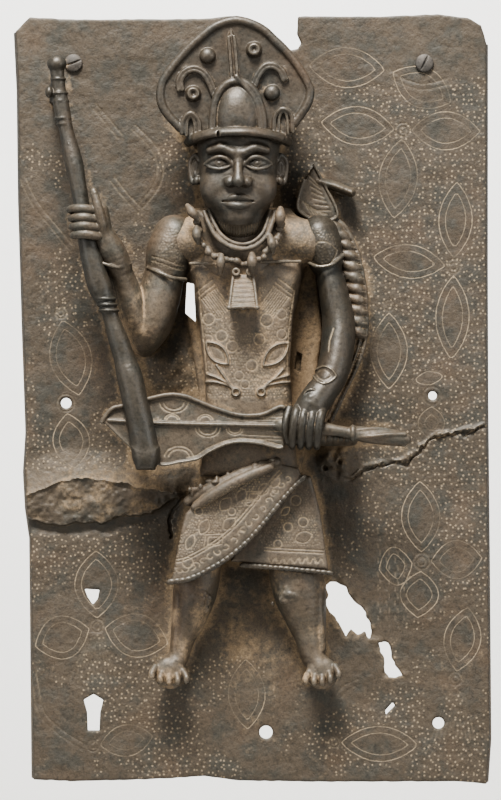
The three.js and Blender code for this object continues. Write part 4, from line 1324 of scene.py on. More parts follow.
@dataclass
class Necklace(Casting):
    """The neck, its doubled collar, the string of beads and leopard's teeth, and the square bell."""

    def shape(self) -> None:
        """Builds the neck, then what hangs on it."""
        solid = self.solid
        solid.limb([(-7, 18, 84, 27, 21), (-7, 20, 95, 20, 21.5), (-7, 24, 108, 15, 20)], 2)
        solid.slab([(-32, 112), (-33, 100), (-24, 84), (-8, 79), (8, 84), (17, 98), (18, 112)], SUNK - 1,
                   36.5, 4, 4)
        ring = smooth_line([(-27.4, 38.5, 110.5), (-24.6, 41.5, 103), (-19.8, 43.4, 95), (-12.6, 44.6, 90),
                            (-4.4, 45, 88.3), (2.9, 44.6, 90.4), (9, 43.4, 96), (12.2, 41.5, 103.2),
                            (14, 38.5, 110.5)], 40)
        for spread, radius in ((0, 1.5), (2.9, 1.15)):
            line = ring.copy()
            line[:, [0, 2]] = beside(ring[:, [0, 2]], -spread)
            solid.tube(line, radius, 0.4)
        self._beads()
        self._bell()
        solid.weather(0.16, 0.12)

    def _beads(self) -> None:
        """The string of crusted beads with six teeth between them."""
        solid = self.solid
        string = smooth_line([(-32.5, 37, 105), (-30.5, 40, 94), (-23.5, 42.5, 86), (-12, 43.5, 81.4),
                              (-3.5, 44, 80.2), (5, 43.5, 83.2), (12, 42, 89), (16.6, 39, 98),
                              (17.4, 36, 106)], 30)
        for x, h, z in string:
            size = solid.rng.uniform(1.7, 2.6)
            shift = solid.rng.uniform(-0.9, 0.9, 3)
            solid.ball(x + shift[0], h + shift[1], z + shift[2], size, size, size * 0.9, 0.7)
        teeth = [((-37.4, 39, 114), (-34.6, 42, 110), (-31.6, 41.5, 106), 2.6),
                 ((-32.2, 42, 101), (-32, 44.6, 97), (-31.2, 43.5, 92), 2.7),
                 ((-17.4, 45, 84.5), (-17.8, 47.2, 80), (-18.2, 46, 74.5), 2.7),
                 ((0.6, 46, 85), (0.6, 49, 80.6), (0.8, 47, 74.8), 3.1),
                 ((11.2, 44, 96), (12.2, 46.8, 91.4), (12.8, 45, 86.5), 2.7),
                 ((17.4, 40, 112), (17.2, 43, 107.4), (17, 42, 102.6), 3.2)]
        for top, middle, tip, size in teeth:
            solid.limb([(*top, size * 0.62), (*middle, size), (*tip, size * 0.5)], 0.5)

    def _bell(self) -> None:
        """The square bell: flaring sides, a corded rim below and two loops above."""
        solid, x = self.solid, -4.6
        lines = solid.chasing
        front = [(x - 5.4, 73.5), (x + 5.2, 74), (x + 8.1, 53.6), (x - 8.2, 53.2)]

        def face(px: Array, pz: Array) -> Array:
            """The bell's leaning front."""
            return 44.6 + (74 - pz) * 0.3 + 0 * px

        solid.slab(front, 30, face, 1.0, 0.6)
        solid.slab([(x - 6, 56), (x + 6, 56), (x + 6, 50), (x - 6, 50)], 38, 48.6, 0.8, 0, carve=True)
        solid.tube([(x - 8.2, 50.6, 53.6), (x, 51.4, 54.2), (x + 8.2, 50.6, 53.8)], 1.1, 0.4)
        for step in (-8.2, 0, 8.2):
            solid.ball(x + step, 51, 53.7, 1.7, 1.6, 1.5, 0.4)
        for side in (-1, 1):
            solid.ring(x + side * 4.2, 46.2, 74.8, 1.7, 0.9)
            solid.tube([(x + side * 6, 45, 72), (x + side * 7.2, 48, 62), (x + side * 8.2, 50.4, 54)], 0.9,
                       0.4)
        for row in range(6):
            z = 71 - 2.8 * row
            lines.line([(x - 5.2 - row * 0.35, z), (x + 5.2 + row * 0.35, z - 1.4)], 0.8, 0.22, 0.4)
            lines.line([(x - 5.2 - row * 0.35, z - 1.4), (x + 5.2 + row * 0.35, z)], 0.8, 0.22, 0.4)
        solid.chase(40)


@dataclass
class Tunic(Casting):
    """The flat-fronted body and shoulders in a stippled tunic with circles, slanting bands and tendrils."""

    chest: float = 35.5

    def shape(self) -> None:
        """Builds the body, the shoulders and webs, and then the ornament."""
        solid, deep = self.solid, self.chest - 12
        body = [(-34, 81), (-36, 76), (-33, 70), (-31, 56), (-30, 40), (-28, 20), (-27, 8), (-27, -10),
                (-30, -46), (28, -46), (25, -12), (24, 4), (23, 20), (24.4, 44), (26.4, 66), (29.5, 74),
                (29, 81.5)]
        solid.slab([(-44, 84), (-31, 0), (-30, -42), (30, -44), (38, 4), (43, 40), (38, 92)], SUNK - 1, 6, 2,
                   0)
        solid.limb([(-54, 14, 84, 8, 12), (-44, 17, 92, 13, 15), (-24, 18, 95, 14, 16.5),
                    (14, 18, 95, 14, 16.5), (34, 17, 93, 13, 15), (47, 14, 84, 8, 12)], 6)
        solid.limb([(BODY_X, 12, 70, 33, deep - 2), (BODY_X - 1, 10, 92, 36, deep - 2),
                    (BODY_X - 2, 8, 101, 26, deep - 6)], 6)
        solid.slab(body, SUNK - 1, self._front, 2.6, 4)
        solid.tube([(-36, 30.5, 80.4), (-28, 34, 80.2), (-19, 35.4, 79.6)], 1.0, 0.5)
        solid.tube([(4, 35.8, 80.8), (16, 35, 81.4), (29, 31, 81.6)], 1.0, 0.5)
        self._ornament()
        x, z = solid.x[:, 0], solid.z[:, 0]
        sides = np.exp(-((np.abs(x - BODY_X) - 38) / 9) ** 2) * np.exp(-((z - 25) / 45) ** 2)
        self.earth = (0.18 + 0.6 * sides + 0.08 * np.clip((z - 76) / 8, 0, 1)).astype(np.float32)
        solid.weather(0.16, 0.1)
        for slit in (STAFF_SLIT, SWORD_SLIT):
            solid.slab(slit, -5, 42, 0.6, 0.6, carve=True)

    def _front(self, x: Array, z: Array) -> Array:
        """The tunic's face, which falls away to the sides."""
        return self.chest + 0.6 - 0.0075 * (x - BODY_X) ** 2 - 0.0018 * np.clip(-z, 0, 100) ** 2

    def _ornament(self) -> None:
        """Draws the bands, circles, lozenges, tendrils and the stippled ground."""
        lines, rng = self.solid.chasing, self.solid.rng
        kept = []
        for side, (x, z) in ((-1, (-20.5, 56.5)), (1, (13.6, 57.5))):
            along = np.array([side * 0.59, 0.81])
            across = np.array([side * -0.81, 0.59]) * (-1)
            middle = np.array([x, z])
            half_long, half_wide = 7.4, 5.4
            for step in np.linspace(-half_wide, half_wide, 9):
                a = middle + across * step - along * half_long
                b = middle + across * step + along * half_long
                lines.line([a, b], 0.9, 0.5, 0.7)
            for offset in (0, 2.2, 5.2):
                a = middle - across * (half_wide + 0.6) + along * (half_long + offset)
                b = middle + across * (half_wide + 0.6) + along * (half_long + offset)
                lines.line([a, b], 0.9, 0.45, 0.8)
            box = [middle + across * i * (half_wide + 2) + along * j for i, j in
                   ((-1, -half_long - 1.5), (1, -half_long - 1.5), (1, half_long + 7), (-1, half_long + 7))]
            kept.append(box)
        circles = [(-25, 47.5, 3.4), (-17.5, 37.5, 3.4), (-25.5, 35.5, 2.8), (-11.2, 31.2, 3.4),
                   (9.2, 46.8, 3.8), (5, 35.2, 3.3), (18, 50.5, 3.2), (18.2, 38.5, 3), (0.5, 20, 3.3),
                   (-7, 14, 2.8), (-19, 50, 2.6), (-10, 43, 2.6), (-3.5, 9, 2.6)]
        kept += lines.circles(circles, 0.8)
        for foot, tip, wide in (((-26.6, 33.5), (-13.4, 20.6), 4.6), ((22.2, 33), (7.4, 19.8), 4.6)):
            for side in lens(foot, tip, wide):
                lines.line(side, 1.7, -1.3, 0.0)
            for side in lens(tuple(np.array(foot) * 0.8 + np.array(tip) * 0.2),
                             tuple(np.array(foot) * 0.2 + np.array(tip) * 0.8), wide * 0.5):
                lines.line(side, 0.8, 0.3, 0.5)
            kept.append(petal_outline(foot, tip, wide + 1))
        tendrils = [[(-10.5, 4.6), (-12.5, 8), (-19, 12), (-25.5, 14.5)],
                    [(-11, 5.5), (-15, 12), (-20.5, 20)],
                    [(-9, 6), (-14, 8), (-21, 10), (-26.5, 10)],
                    [(7, 4.6), (9, 8), (15, 13), (19, 17.5)], [(7.6, 5.5), (12, 10.6), (22.5, 14)],
                    [(6, 6), (10, 8), (17, 9.5), (23, 10)]]
        for tendril in tendrils:
            lines.line(smooth_line(tendril, 14), 1.9, -1.2, 0.0)
            kept.append(np.vstack([smooth_line(tendril, 8) + 1.2, smooth_line(tendril, 8)[::-1] - 1.2]))
        for x, z in ((-8.9, 4), (6, 4)):
            lines.line(circle(x, z, 2.2), 1.7, -1.5, 0.0)
            kept.append(circle(x, z, 3.2)[:-1])
        for side in ([(-31, 66), (-28.4, 40), (-26, 14)], [(25.5, 64), (22.2, 40), (21, 10)]):
            lines.line(smooth_line(side, 20), 0.9, 0.4, 0.6)
        kept.append([(-36, 84), (-36, 69), (-20, 67), (20, 67), (30, 69), (30, 84)])
        kept.append([(-13, 76), (4.5, 76), (4.5, 40), (-13, 40)])
        region = [(-30.5, 70), (-25.5, 0), (22, 0), (26, 70)]
        lines.ground(region, kept, 1.75, 0.62, 0.34, rng, 0.55, 0.25)
        for shoulder in ([(-46, 84), (-45, 104), (-20, 108), (-24, 84)],
                         [(14, 84), (12, 106), (36, 104), (38, 84)]):
            lines.ground(shoulder, [], 1.9, 0.55, 0.26, rng, 0.3)
        self.solid.chase(20)


# ---- the arms, the staff and the sword ----

@dataclass
class StaffArm(Casting):
    """The bent arm that lifts the staff: a stippled sleeve, a cuff, and the hand closed round the shaft."""

    def shape(self) -> None:
        """Builds the arm from the shoulder to the thumb."""
        solid = self.solid
        solid.limb([(-46, 18, 97, 12.5, 14), (-48.5, 19, 88, 13.8, 14.4), (-50, 18, 77.5, 12.6, 13.4)], 2)
        solid.limb([(-50, 16, 84, 11, 13), (-54, 17, 64, 12.6, 15), (-58, 17, 48, 12.4, 16),
                    (-62, 16, 37, 9.5, 14), (-64, 13, 31, 6, 9)], 0.9, 60)
        solid.limb([(-64, 15, 34, 8, 13), (-69, 20, 48, 9.2, 14), (-75, 27, 66, 8.6, 12),
                    (-81, 35, 83, 7.6, 10), (-86, 40, 95, 7, 8)], 0.9, 70)
        solid.limb([(-78.6, 33, 77.5, 8.4, 10.6), (-82.5, 37.5, 87, 8.6, 10), (-85.6, 40, 94, 7, 8.4)], 0.5)
        solid.tube([(-91.5, 40, 82), (-86, 45.5, 79.6), (-78, 43.6, 77.6), (-71.5, 37, 80)], 1.1, 0.5)
        solid.tube([(-61, 24, 78), (-55, 31.5, 75.2), (-47, 32.4, 72), (-39, 26, 71)], 1.2, 0.5)
        solid.tube([(-40, 30, 101), (-39, 33, 90), (-37.5, 31, 77)], 0.9, 0.5, carve=True)
        self._hand()
        lines = solid.chasing
        sleeve = [(-60, 80), (-50, 101), (-42, 103), (-38.6, 76), (-50, 76)]
        lines.ground(sleeve, [], 1.75, 0.58, 0.3, solid.rng, 0.35)
        for curve in ([(-59, 82), (-52, 80), (-44, 77), (-40, 76.5)],
                      [(-58.4, 84.6), (-51, 82.5), (-43.6, 79.6),
                                                                      (-40, 79)]):
            lines.line(smooth_line(curve, 14), 0.9, 0.4, 0.7)
        for step in range(5):
            x = -72 - 1.7 * step
            lines.line([(x, 34 + step), (x - 5.5, 56 + step), (x - 9, 70 + step)], 0.8, 0.22, 0.3)
        solid.chase(16)
        x, z = solid.x[:, 0], solid.z[:, 0]
        elbow = np.exp(-((x + 66) / 14) ** 2 - ((z - 45) / 26) ** 2)
        self.earth = (0.45 * elbow - 0.3 * np.clip((z - 72) / 12, 0, 1)).astype(np.float32)
        solid.weather(0.22, 0.1)
        solid.slab(STAFF_SLIT, -5, 42, 0.6, 0.6, carve=True)

    def _hand(self) -> None:
        """Four fingers across the staff, the back of the hand, and the thumb up beside it."""
        solid = self.solid
        solid.limb([(-86, 40, 93, 5.6, 7), (-87.6, 42, 101, 5.4, 7.4), (-88.6, 43, 111, 4.6, 6.2)], 1.2)
        for row in range(4):
            x, z = -98.4 + 0.6 * row, 111.6 - 5.1 * row
            solid.limb([(x + 9.5, 41, z - 1.2, 2.5), (x + 6.5, 47.6, z - 0.4, 2.55), (x, 50.2, z + 0.4, 2.65),
                        (x - 6, 47.8, z + 0.5, 2.55), (x - 8.2, 42, z + 0.2, 2.3), (x - 7.4, 37, z, 2.1)],
                        0.45, 26)
        solid.limb([(-86.5, 45, 97, 3.4, 3.6), (-88, 48.4, 104, 3.1), (-90, 49.8, 113, 2.8),
                    (-92.6, 48, 122.2, 2.1)],
                   0.7)
        solid.tube([(-93.9, 49.6, 120.6), (-91.4, 50.4, 121.4)], 0.5, 0.3)


@dataclass
class Staff(Casting):
    """The staff, with its knob, collars and swelling shaft, and its hollow foot."""

    axis: float = 41.0

    def shape(self) -> None:
        """Turns the shaft and adds its collars."""
        solid, h = self.solid, self.axis
        shaft = [(-115, h - 8, 196, 4.2), (-114, h - 8, 185, 4.0), (-112, h - 7, 172, 4.8),
                 (-109, h - 6, 157.5, 4.2), (-105, h - 4, 141, 5.5), (-102.3, h - 2, 127, 4.8),
                 (-98.3, h, 106, 5), (-95.5, h + 1, 89.5, 6), (-89.5, h + 2, 67, 6.9), (-85, h + 2, 56, 5.0),
                 (-82, h + 2, 46.5, 4.8), (-78.3, h + 2, 35.5, 5.8), (-74.4, h + 2, 23, 6.4),
                 (-71.5, h + 3, 13, 7.6), (-68.7, h + 4, 0, 7.6), (-65.3, h + 4, -14.5, 7.9),
                 (-62.3, h + 4, -29, 8.1), (-61.8, h + 4, -33, 8.4)]
        solid.limb(shaft, 1, 70)
        solid.slab([(-70.6, -28), (-53.8, -28), (-56.4, -41.8), (-67.6, -41.8)], h - 3, h + 12, 3, 1.5)
        solid.ball(-62.6, h + 4, -42.5, 3.2, 4.2, 7, 0.6, carve=True)
        solid.ball(-115, h - 8, 198.4, 5.7, 5.7, 5.2, 0.6)
        for x, away, z, radius in ((-114.2, -8, 189.4, 4.6), (-113.6, -8, 181, 5.4),
                                   (-112.6, -7.6, 176.4, 5.1), (-111.4, -7, 166, 5.4),
                                   (-110.6, -6.6, 162.6, 4.8), (-86, 2, 59, 6.8), (-84.8, 2, 55.6, 6.3),
                                   (-83.8, 2, 52.2, 6.4)):
            solid.ball(x, h + away, z, radius, radius, 1.7, 0.5)
        solid.ball(-119.4, h - 5, 181.6, 2.4, 3, 3.6, 0.6)
        for x, z in ((-116.5, 181), (-66, -24)):
            solid.slab([(x - 3, z - 5), (x + 3, z - 5), (x + 3, z + 5), (x - 3, z + 5)], SUNK - 1, h - 8, 1.2,
                       2)
        solid.weather(0.2, 0.08)


@dataclass
class Sword(Casting):
    """The broad sword: a flaring blade with a rolled edge, a midrib and half-moons, and a fluted pommel."""

    back: float = 37.0
    front: float = 43.4

    def shape(self) -> None:
        """Builds the blade, then its edge, ribs and handle."""
        solid = self.solid
        top = smooth_line([(-87.8, -12.5), (-84.6, -7.6), (-81, -4.4), (-76, -3.2), (-60, 1), (-48.5, 3.4),
                           (-39, 2.5), (-30, -1), (-19, -5.2), (-7, -8.6), (6, -8.4), (17, -3.8),
                           (20.5, -5)], 60)
        foot = smooth_line([(20.5, -27), (17, -29.8), (6, -27.2), (-5, -26), (-14, -27.2), (-24, -31.5),
                            (-31.5, -36), (-42, -38), (-54, -39.2), (-69.5, -30), (-87.8, -12.5)], 60)
        solid.slab(np.vstack([top, foot[:-1]]), self.back, self._face, 1.0, 1)
        solid.slab([(-62, -8), (26, -10), (28, -26), (-60, -26)], 20, self.back + 1, 1.5, 1)
        solid.trace(top[:-2] - (0, 0.9), self.front + 0.2, 1.35, 0.6)
        solid.trace(foot[4:] + (0, 0.8), self.front - 0.3, 0.85, 0.6)
        solid.tube([(-84, self.front + 0.1, -12.6), (-50, self.front + 0.5, -14.4),
                    (20, self.front + 0.8, -15.8)],
                   1.15, 0.4)
        self._handle()
        self._lines(top, foot)
        solid.weather(0.13, 0.07)

    def _face(self, x: Array, z: Array) -> Array:
        """The blade's face, sunk a little on both sides of the midrib."""
        return self.front - 0.5 + 0.5 * np.exp(-((z + 14.5) / 5) ** 2) + 0 * x

    def _handle(self) -> None:
        """The grip, its knob and the twisted flutes of the pommel."""
        solid = self.solid
        solid.limb([(18, 42, -15.5, 4.6, 4.6), (40, 43, -17.4, 4.2, 4.4), (47, 43, -18.2, 3.6, 4),
                    (53, 43, -19, 3.2, 3.6), (60, 42, -20.4, 3.6, 4), (70, 41.4, -21.8, 4.4, 4.6),
                    (84, 40.4, -23, 4.6, 4), (91.5, 40, -23.6, 3.2, 2.8)], 1)
        solid.ball(60, 42.4, -20.2, 2.6, 5.2, 5.2, 0.6)
        for turn in (-0.6, 0.6, 1.8, 3.0):
            rows = []
            for part in np.linspace(0, 1, 9):
                angle = turn + 1.5 * part
                x, z = 61.5 + 29 * part, -20.6 - 3 * part
                size = 3.4 + 0.9 * math.sin(math.pi * min(part * 1.1, 1))
                rows.append((x, 41.6 - 1.4 * part + size * math.cos(angle), z + size * math.sin(angle)))
            solid.tube(rows, 1.35, 0.5)
        solid.limb([(30, 20, -20, 8, 22), (46, 18, -22, 6, 22), (60, 12, -24, 4, 26)], 2)

    def _lines(self, top: Array, foot: Array) -> None:
        """Half-moons along the edges, and lines that follow the lower edge."""
        lines = self.solid.chasing
        for x, z, radius, up in ((-45.5, -1.5, 8.4, -1), (-46.5, -12.2, 4.4, 1), (-27, -12.6, 4.6, 1),
                                 (-25.4, -16.6, 7.4, -1), (-42.5, -34.5, 8.6, 1), (-9.5, -17.2, 5, -1)):
            for shrink in (1.0, 0.72):
                turn = np.linspace(0.12, math.pi - 0.12, 14)
                arc = np.column_stack([x + radius * shrink * np.cos(turn),
                                       z + up * radius * 0.78 * shrink * np.sin(turn)])
                lines.line(arc, 0.95, 0.42, 0.9)
        lines.line(beside(foot[5:40], 3.0), 0.85, 0.35, 0.7)
        lines.line(beside(top[26:56], 3.6), 0.85, 0.35, 0.7)
        for z in (-18.4, -21.4, -23.4):
            lines.line([(-6, z + 0.4), (18, z - 0.8)], 0.75, 0.25, 0.5)
        for z in (-12.6, -10.8):
            lines.line([(-4, z + 0.6), (18, z)], 0.75, 0.25, 0.5)
        self.solid.chase(38)


@dataclass
class SwordArm(Casting):
    """The arm at the side: a stippled sleeve, a stud at the wrist, and the hand closed on the sword."""

    def shape(self) -> None:
        """Builds the arm from the shoulder to the fingertips."""
        solid = self.solid
        solid.limb([(40.5, 17, 98, 11.5, 14.2), (43.5, 18, 90, 11, 14.8), (44.6, 17, 82.5, 10.2, 14)], 2)
        solid.limb([(45, 15, 84, 7.5, 12), (48.5, 17, 66, 8.6, 14), (52, 19, 48, 9.6, 15),
                    (51.6, 24, 32, 10.0, 15), (48, 31, 15, 9.6, 13), (40.5, 38, 1, 8.6, 9.6)], 0.7, 80)
        solid.tube([(34.6, 27, 80.6), (40, 31.6, 78.6), (48, 31.8, 80), (54.6, 25, 85.6)], 1.1, 0.5)
        self._hand()
        lines = solid.chasing
        for side in lens((51, 88.5), (34, 84), 7.2):
            lines.line(side, 1.0, 0.4, 0.7)
        lines.ground([(34, 104), (31, 84), (44, 80), (54, 88), (50, 98)], [], 1.75, 0.58, 0.3, solid.rng,
                     0.35)
        for scale in (1.0, 0.6):
            for side in lens((42.4 - 6.5 * scale, 15), (42.4 + 8 * scale, 13.6), 5 * scale):
                lines.line(side, 1.3, -0.8 if scale == 1.0 else 0.35, 0.2)
        lines.line(smooth_line([(38, 52), (35.6, 40), (33.8, 26), (31, 10)], 20), 1.0, 0.35, 0.6)
        lines.line([(49, 42), (46.4, 34), (46, 28)], 0.9, 0.3, 0.8)
        solid.chase(20)
        solid.weather(0.2, 0.08)
        solid.slab(SWORD_SLIT, -5, 42, 0.6, 0.6, carve=True)

    def _hand(self) -> None:
        """The back of the hand, the stud at the wrist, and the fingers over the grip."""
        solid = self.solid
        solid.limb([(40.5, 38, 3, 9, 10), (36, 41.6, -4, 9.6, 9.6), (33, 42, -13, 10, 8.2)], 1.5)
        for row in range(4):
            x = 24.6 + 4.9 * row
            bend = -0.35 * row
            solid.limb([(x + 3, 44.5, -4.4 + bend, 2.5), (x + 1.6, 49.6, -8.6 + bend, 2.75),
                        (x + 0.6, 51.2, -14 + bend, 2.6), (x, 49.8, -21, 2.5), (x - 0.4, 46.2, -26.6, 2.3),
                        (x - 0.4, 41.6, -28.2, 2.0)], 0.45, 26)
        solid.limb([(22.4, 42, -6, 2.6), (20.6, 45.4, -13, 2.6), (20.6, 45.6, -20, 2.4),
                    (22, 43, -25.6, 2.1)], 0.5)
        solid.ball(35.4, 47.2, 0.6, 3.0, 3, 3.0, 0.5)
        solid.tube([(29.6, 45.8, -1.6), (32.6, 47, 4.6), (37.4, 47.4, 5.2), (41.6, 45.6, -0.6)], 0.8, 0.4)


@dataclass
class Quiver(Casting):
    """The curved quiver behind the arm with its rolled ribs, and the striped leaf and peg above it."""

    height: float = 14.0

    def shape(self) -> None:
        """Builds the quiver, its border and ribs, and the leaf."""
        solid = self.solid
        outer = smooth_line([(40, 106), (52, 106.5), (58, 101), (62, 93), (65.5, 83), (68.5, 66), (69.5, 50),
                             (68.5, 34), (63.5, 19), (57, 5), (48, -14)], 44)
        body = np.vstack([outer, [(36, -10), (44, 20), (46, 60), (38, 90)]])
        solid.slab(body, SUNK - 1, self.height - 1.2, 1.5, 0)
        solid.trace(outer[2:] - (0.6, 0), self.height - 1.2, 1.25, 0.5)
        solid.trace(outer[12:] - (3.8, 0), self.height - 0.9, 0.8, 0.5)
        ribs = smooth_line([(43, 104.5, 0.2), (50.5, 101.4, 0.1), (55, 95, -0.1), (58.2, 87.4, -0.15),
                            (60.4, 79.4, -0.1), (62, 71.4, 0), (63, 63.2, 0), (63.8, 55.4, 0),
                            (64, 47.6, 0.05), (63.8, 40, 0.1)], 12)
        for x, z, lean in ribs:
            size = solid.rng.uniform(0.88, 1.15)
            solid.limb([(x - 5.6, self.height - 1, z + 1.6 - 4 * lean, 2.9 * size, 3.4),
                        (x, self.height + 0.4, z, 3.7 * size, 3.8),
                        (x + 3.4, self.height - 1.2, z - 1.4, 2.7, 2.8)],
                       1.2)
        leaf = smooth_line([(37.5, 139.5), (43, 129), (51.5, 110), (40, 106), (29, 112), (28.5, 120),
                            (32, 131), (37.5, 139.5)], 40)[:-1]
        solid.slab(leaf, SUNK - 1, 15.8, 1.4, 1)
        solid.trace(leaf[:34], 15.6, 1.0, 0.4)
        solid.limb([(41, 9, 129.5, 3, 8), (50, 9.6, 127, 3, 8), (59.6, 10.4, 123.4, 3.1, 8.6)], 0.8)
        lines = solid.chasing
        for step in range(7):
            lines.line([(34 + step * 0.7, 134 - step * 3.6), (40 + step * 1.2, 128 - step * 2.6)], 0.9, 0.35,
                       0.5)
            lines.line([(31 + step * 1.4, 118 - step), (36 + step * 1.6, 110)], 0.9, 0.3, 0.4)
        for x, z in outer[14::1]:
            lines.line([(x - 0.4, z), (x - 3.2, z + 0.4)], 0.7, 0.35, 0.5)
        solid.chase(8)
        solid.weather(0.28, 0.14)


# ---- the skirt, legs and feet ----

HEM = [(-47, -108), (-37, -106.5), (-26, -101.5), (-14.5, -94.5), (-3, -85), (6.5, -74.5), (15.5, -63.5),
       (23, -54.5), (30.5, -47)]
UNDER_HEM = [(-4, -98.8), (8, -99.6), (20, -100.6), (33, -101.8), (46.5, -103.2)]


@dataclass
class Skirt(Casting):
    """The wrapped skirt: an outer flap with a curved hem, the flap beneath it, and a rolled belt."""

    outer: float = 35.0
    under: float = 26.2

    def shape(self) -> None:
        """Builds the under flap, the outer flap and the belt."""
        solid = self.solid
        hem = smooth_line(HEM, 40)
        under = [(-12, -96.5), (-4, -97.4), (46, -101.8), (44, -88), (41, -66.5), (35.5, -46), (0, -44)]
        solid.slab(under, SUNK - 1, self._under_face, 1.3, 0)
        flap = np.vstack([hem, [(28, -41), (8, -36), (-12, -44), (-30, -58), (-39, -68), (-43, -86)]])
        solid.slab(flap, SUNK - 1, self._outer_face, 1.0, 0.6)
        solid.limb([(11, 35.6, -40.4, 2.8, 2.6), (-8, 37.4, -48.6, 3.4, 3.2), (-22, 36.4, -56.6, 3.4, 3.2),
                    (-33, 33, -64, 2.6, 2.6)], 0.8)
        solid.tube([(15, 31.6, -37.4), (-4, 34.0, -43.4), (-24, 32.8, -52.6), (-37, 29, -60.4)], 3.2, 1)
        for part in np.linspace(0, 1, 64):
            x, z = 15 - 50 * part, -36.5 - 19 * part
            shift = solid.rng.uniform(-2.2, 2.2, 3)
            solid.ball(x + shift[0], 33.6 + shift[1], z + shift[2], *solid.rng.uniform(1.0, 2.7, 3), 0.8)
        self._pattern(hem)
        solid.weather(0.16, 0.1)

    def _outer_face(self, x: Array, z: Array) -> Array:
        """The outer flap, which lifts towards its hem."""
        down = (-z - 45 + x * 0.55) / 55
        return self.outer - 2.2 + 2.0 * np.clip(down, 0, 1) + 0.7 * np.sin(x * 0.11 - z * 0.06)

    def _under_face(self, x: Array, z: Array) -> Array:
        """The flap beneath."""
        return self.under - 0.8 + 0.8 * np.clip((-z - 55) / 45, 0, 1) + 0 * x

    def _pattern(self, hem: Array) -> None:
        """Draws the borders, leaves, circles and squares on both flaps, and stipples the ground."""
        lines, rng, kept = self.solid.chasing, self.solid.rng, []
        for offset in (11.0, 12.8):
            lines.line(beside(hem, -offset)[2:-3], 0.85, 0.45, 0.9)
        kept.append(np.vstack([beside(hem, -10.2)[1:-2], beside(hem, -13.6)[1:-2][::-1]]))
        kept.append(np.vstack([beside(hem, 1.5), beside(hem, -2.2)[::-1]]))
        leaves = [((-18, -66), (-12, -58.6), 3.2), ((-8, -61), (-3.4, -53.6), 3),
                  ((-30, -80), (-25.6, -71), 3), ((-38, -89), (-34, -80), 2.6),
                  ((-16.5, -77), (-9.4, -70.6), 3.2), ((5, -57), (10, -50), 2.8),
                  ((-3, -62.6), (1.8, -59.4), 2), ((12, -52), (17, -47), 2.2)]
        kept += lines.leaves(leaves)
        kept += lines.circles([(-37.4, -96.6, 3.2), (-11.4, -66.4, 2.2), (-31, -66.6, 2.4), (26.8, -60.4, 3),
                               (22, -76, 2.6), (16, -86, 2.4), (31, -73, 2.8)], 0.85)
        for x, z, size in ((-22.5, -84, 5.4), (1.2, -58, 4.2)):
            for shrink in (1.0, 0.62):
                box = [(x + size * shrink * a, z + size * shrink * 0.8 * b) for a, b in
                       ((-1, -1), (1, -0.4), (1.1, 1), (-0.8, 0.9), (-1, -1))]
                lines.line(box, 0.8, 0.38, 0.85)
            kept.append([(x + size * a, z + size * 0.8 * b) for a,
                         b in ((-1, -1), (1, -0.4), (1.1, 1), (-0.8, 0.9))])
        for part in np.linspace(0.04, 0.94, 20):
            here = beside(hem, -6.2)[int(part * 39)]
            turn = part * 25
            curl = [(here[0] + 2.6 * math.cos(turn + k) * (1 - k / 7),
                     here[1] + 2.2 * math.sin(turn + k) * (1 - k / 7))
                    for k in np.linspace(0, 4.2, 9)]
            lines.line(curl, 0.75, 0.34, 0.8)
        for z in (-88.6, -90.4):
            lines.line([(8, z + 0.4), (43, z - 1.4)], 0.85, 0.4, 0.85)
        kept.append([(8, -87.4), (43, -89), (43, -92.6), (8, -91)])
        for step in range(7):
            x = 12 + 4.6 * step
            lines.line(smooth_line([(x - 1.8, -94), (x, -97.6), (x + 2, -94.6), (x + 3.4, -97.6)], 9), 0.75,
                       0.32, 0.8)
        kept += lines.leaves((((26, -83.6), (36.4, -80.4), 3.4), ((18, -69), (23, -64.4), 2)))
        region = np.vstack([beside(hem, -10.5)[1:-1],
                            [(20, -42), (4, -46), (-14, -52), (-30, -63), (-42, -80)]])
        lines.ground(region, kept, 1.55, 0.55, 0.34, rng, 0.75, 0.25)
        lines.ground([(2, -84), (34, -50), (42, -88), (12, -88)], kept, 1.6, 0.5, 0.26, rng, 0.45, 0.25)
        self.solid.chase(12)


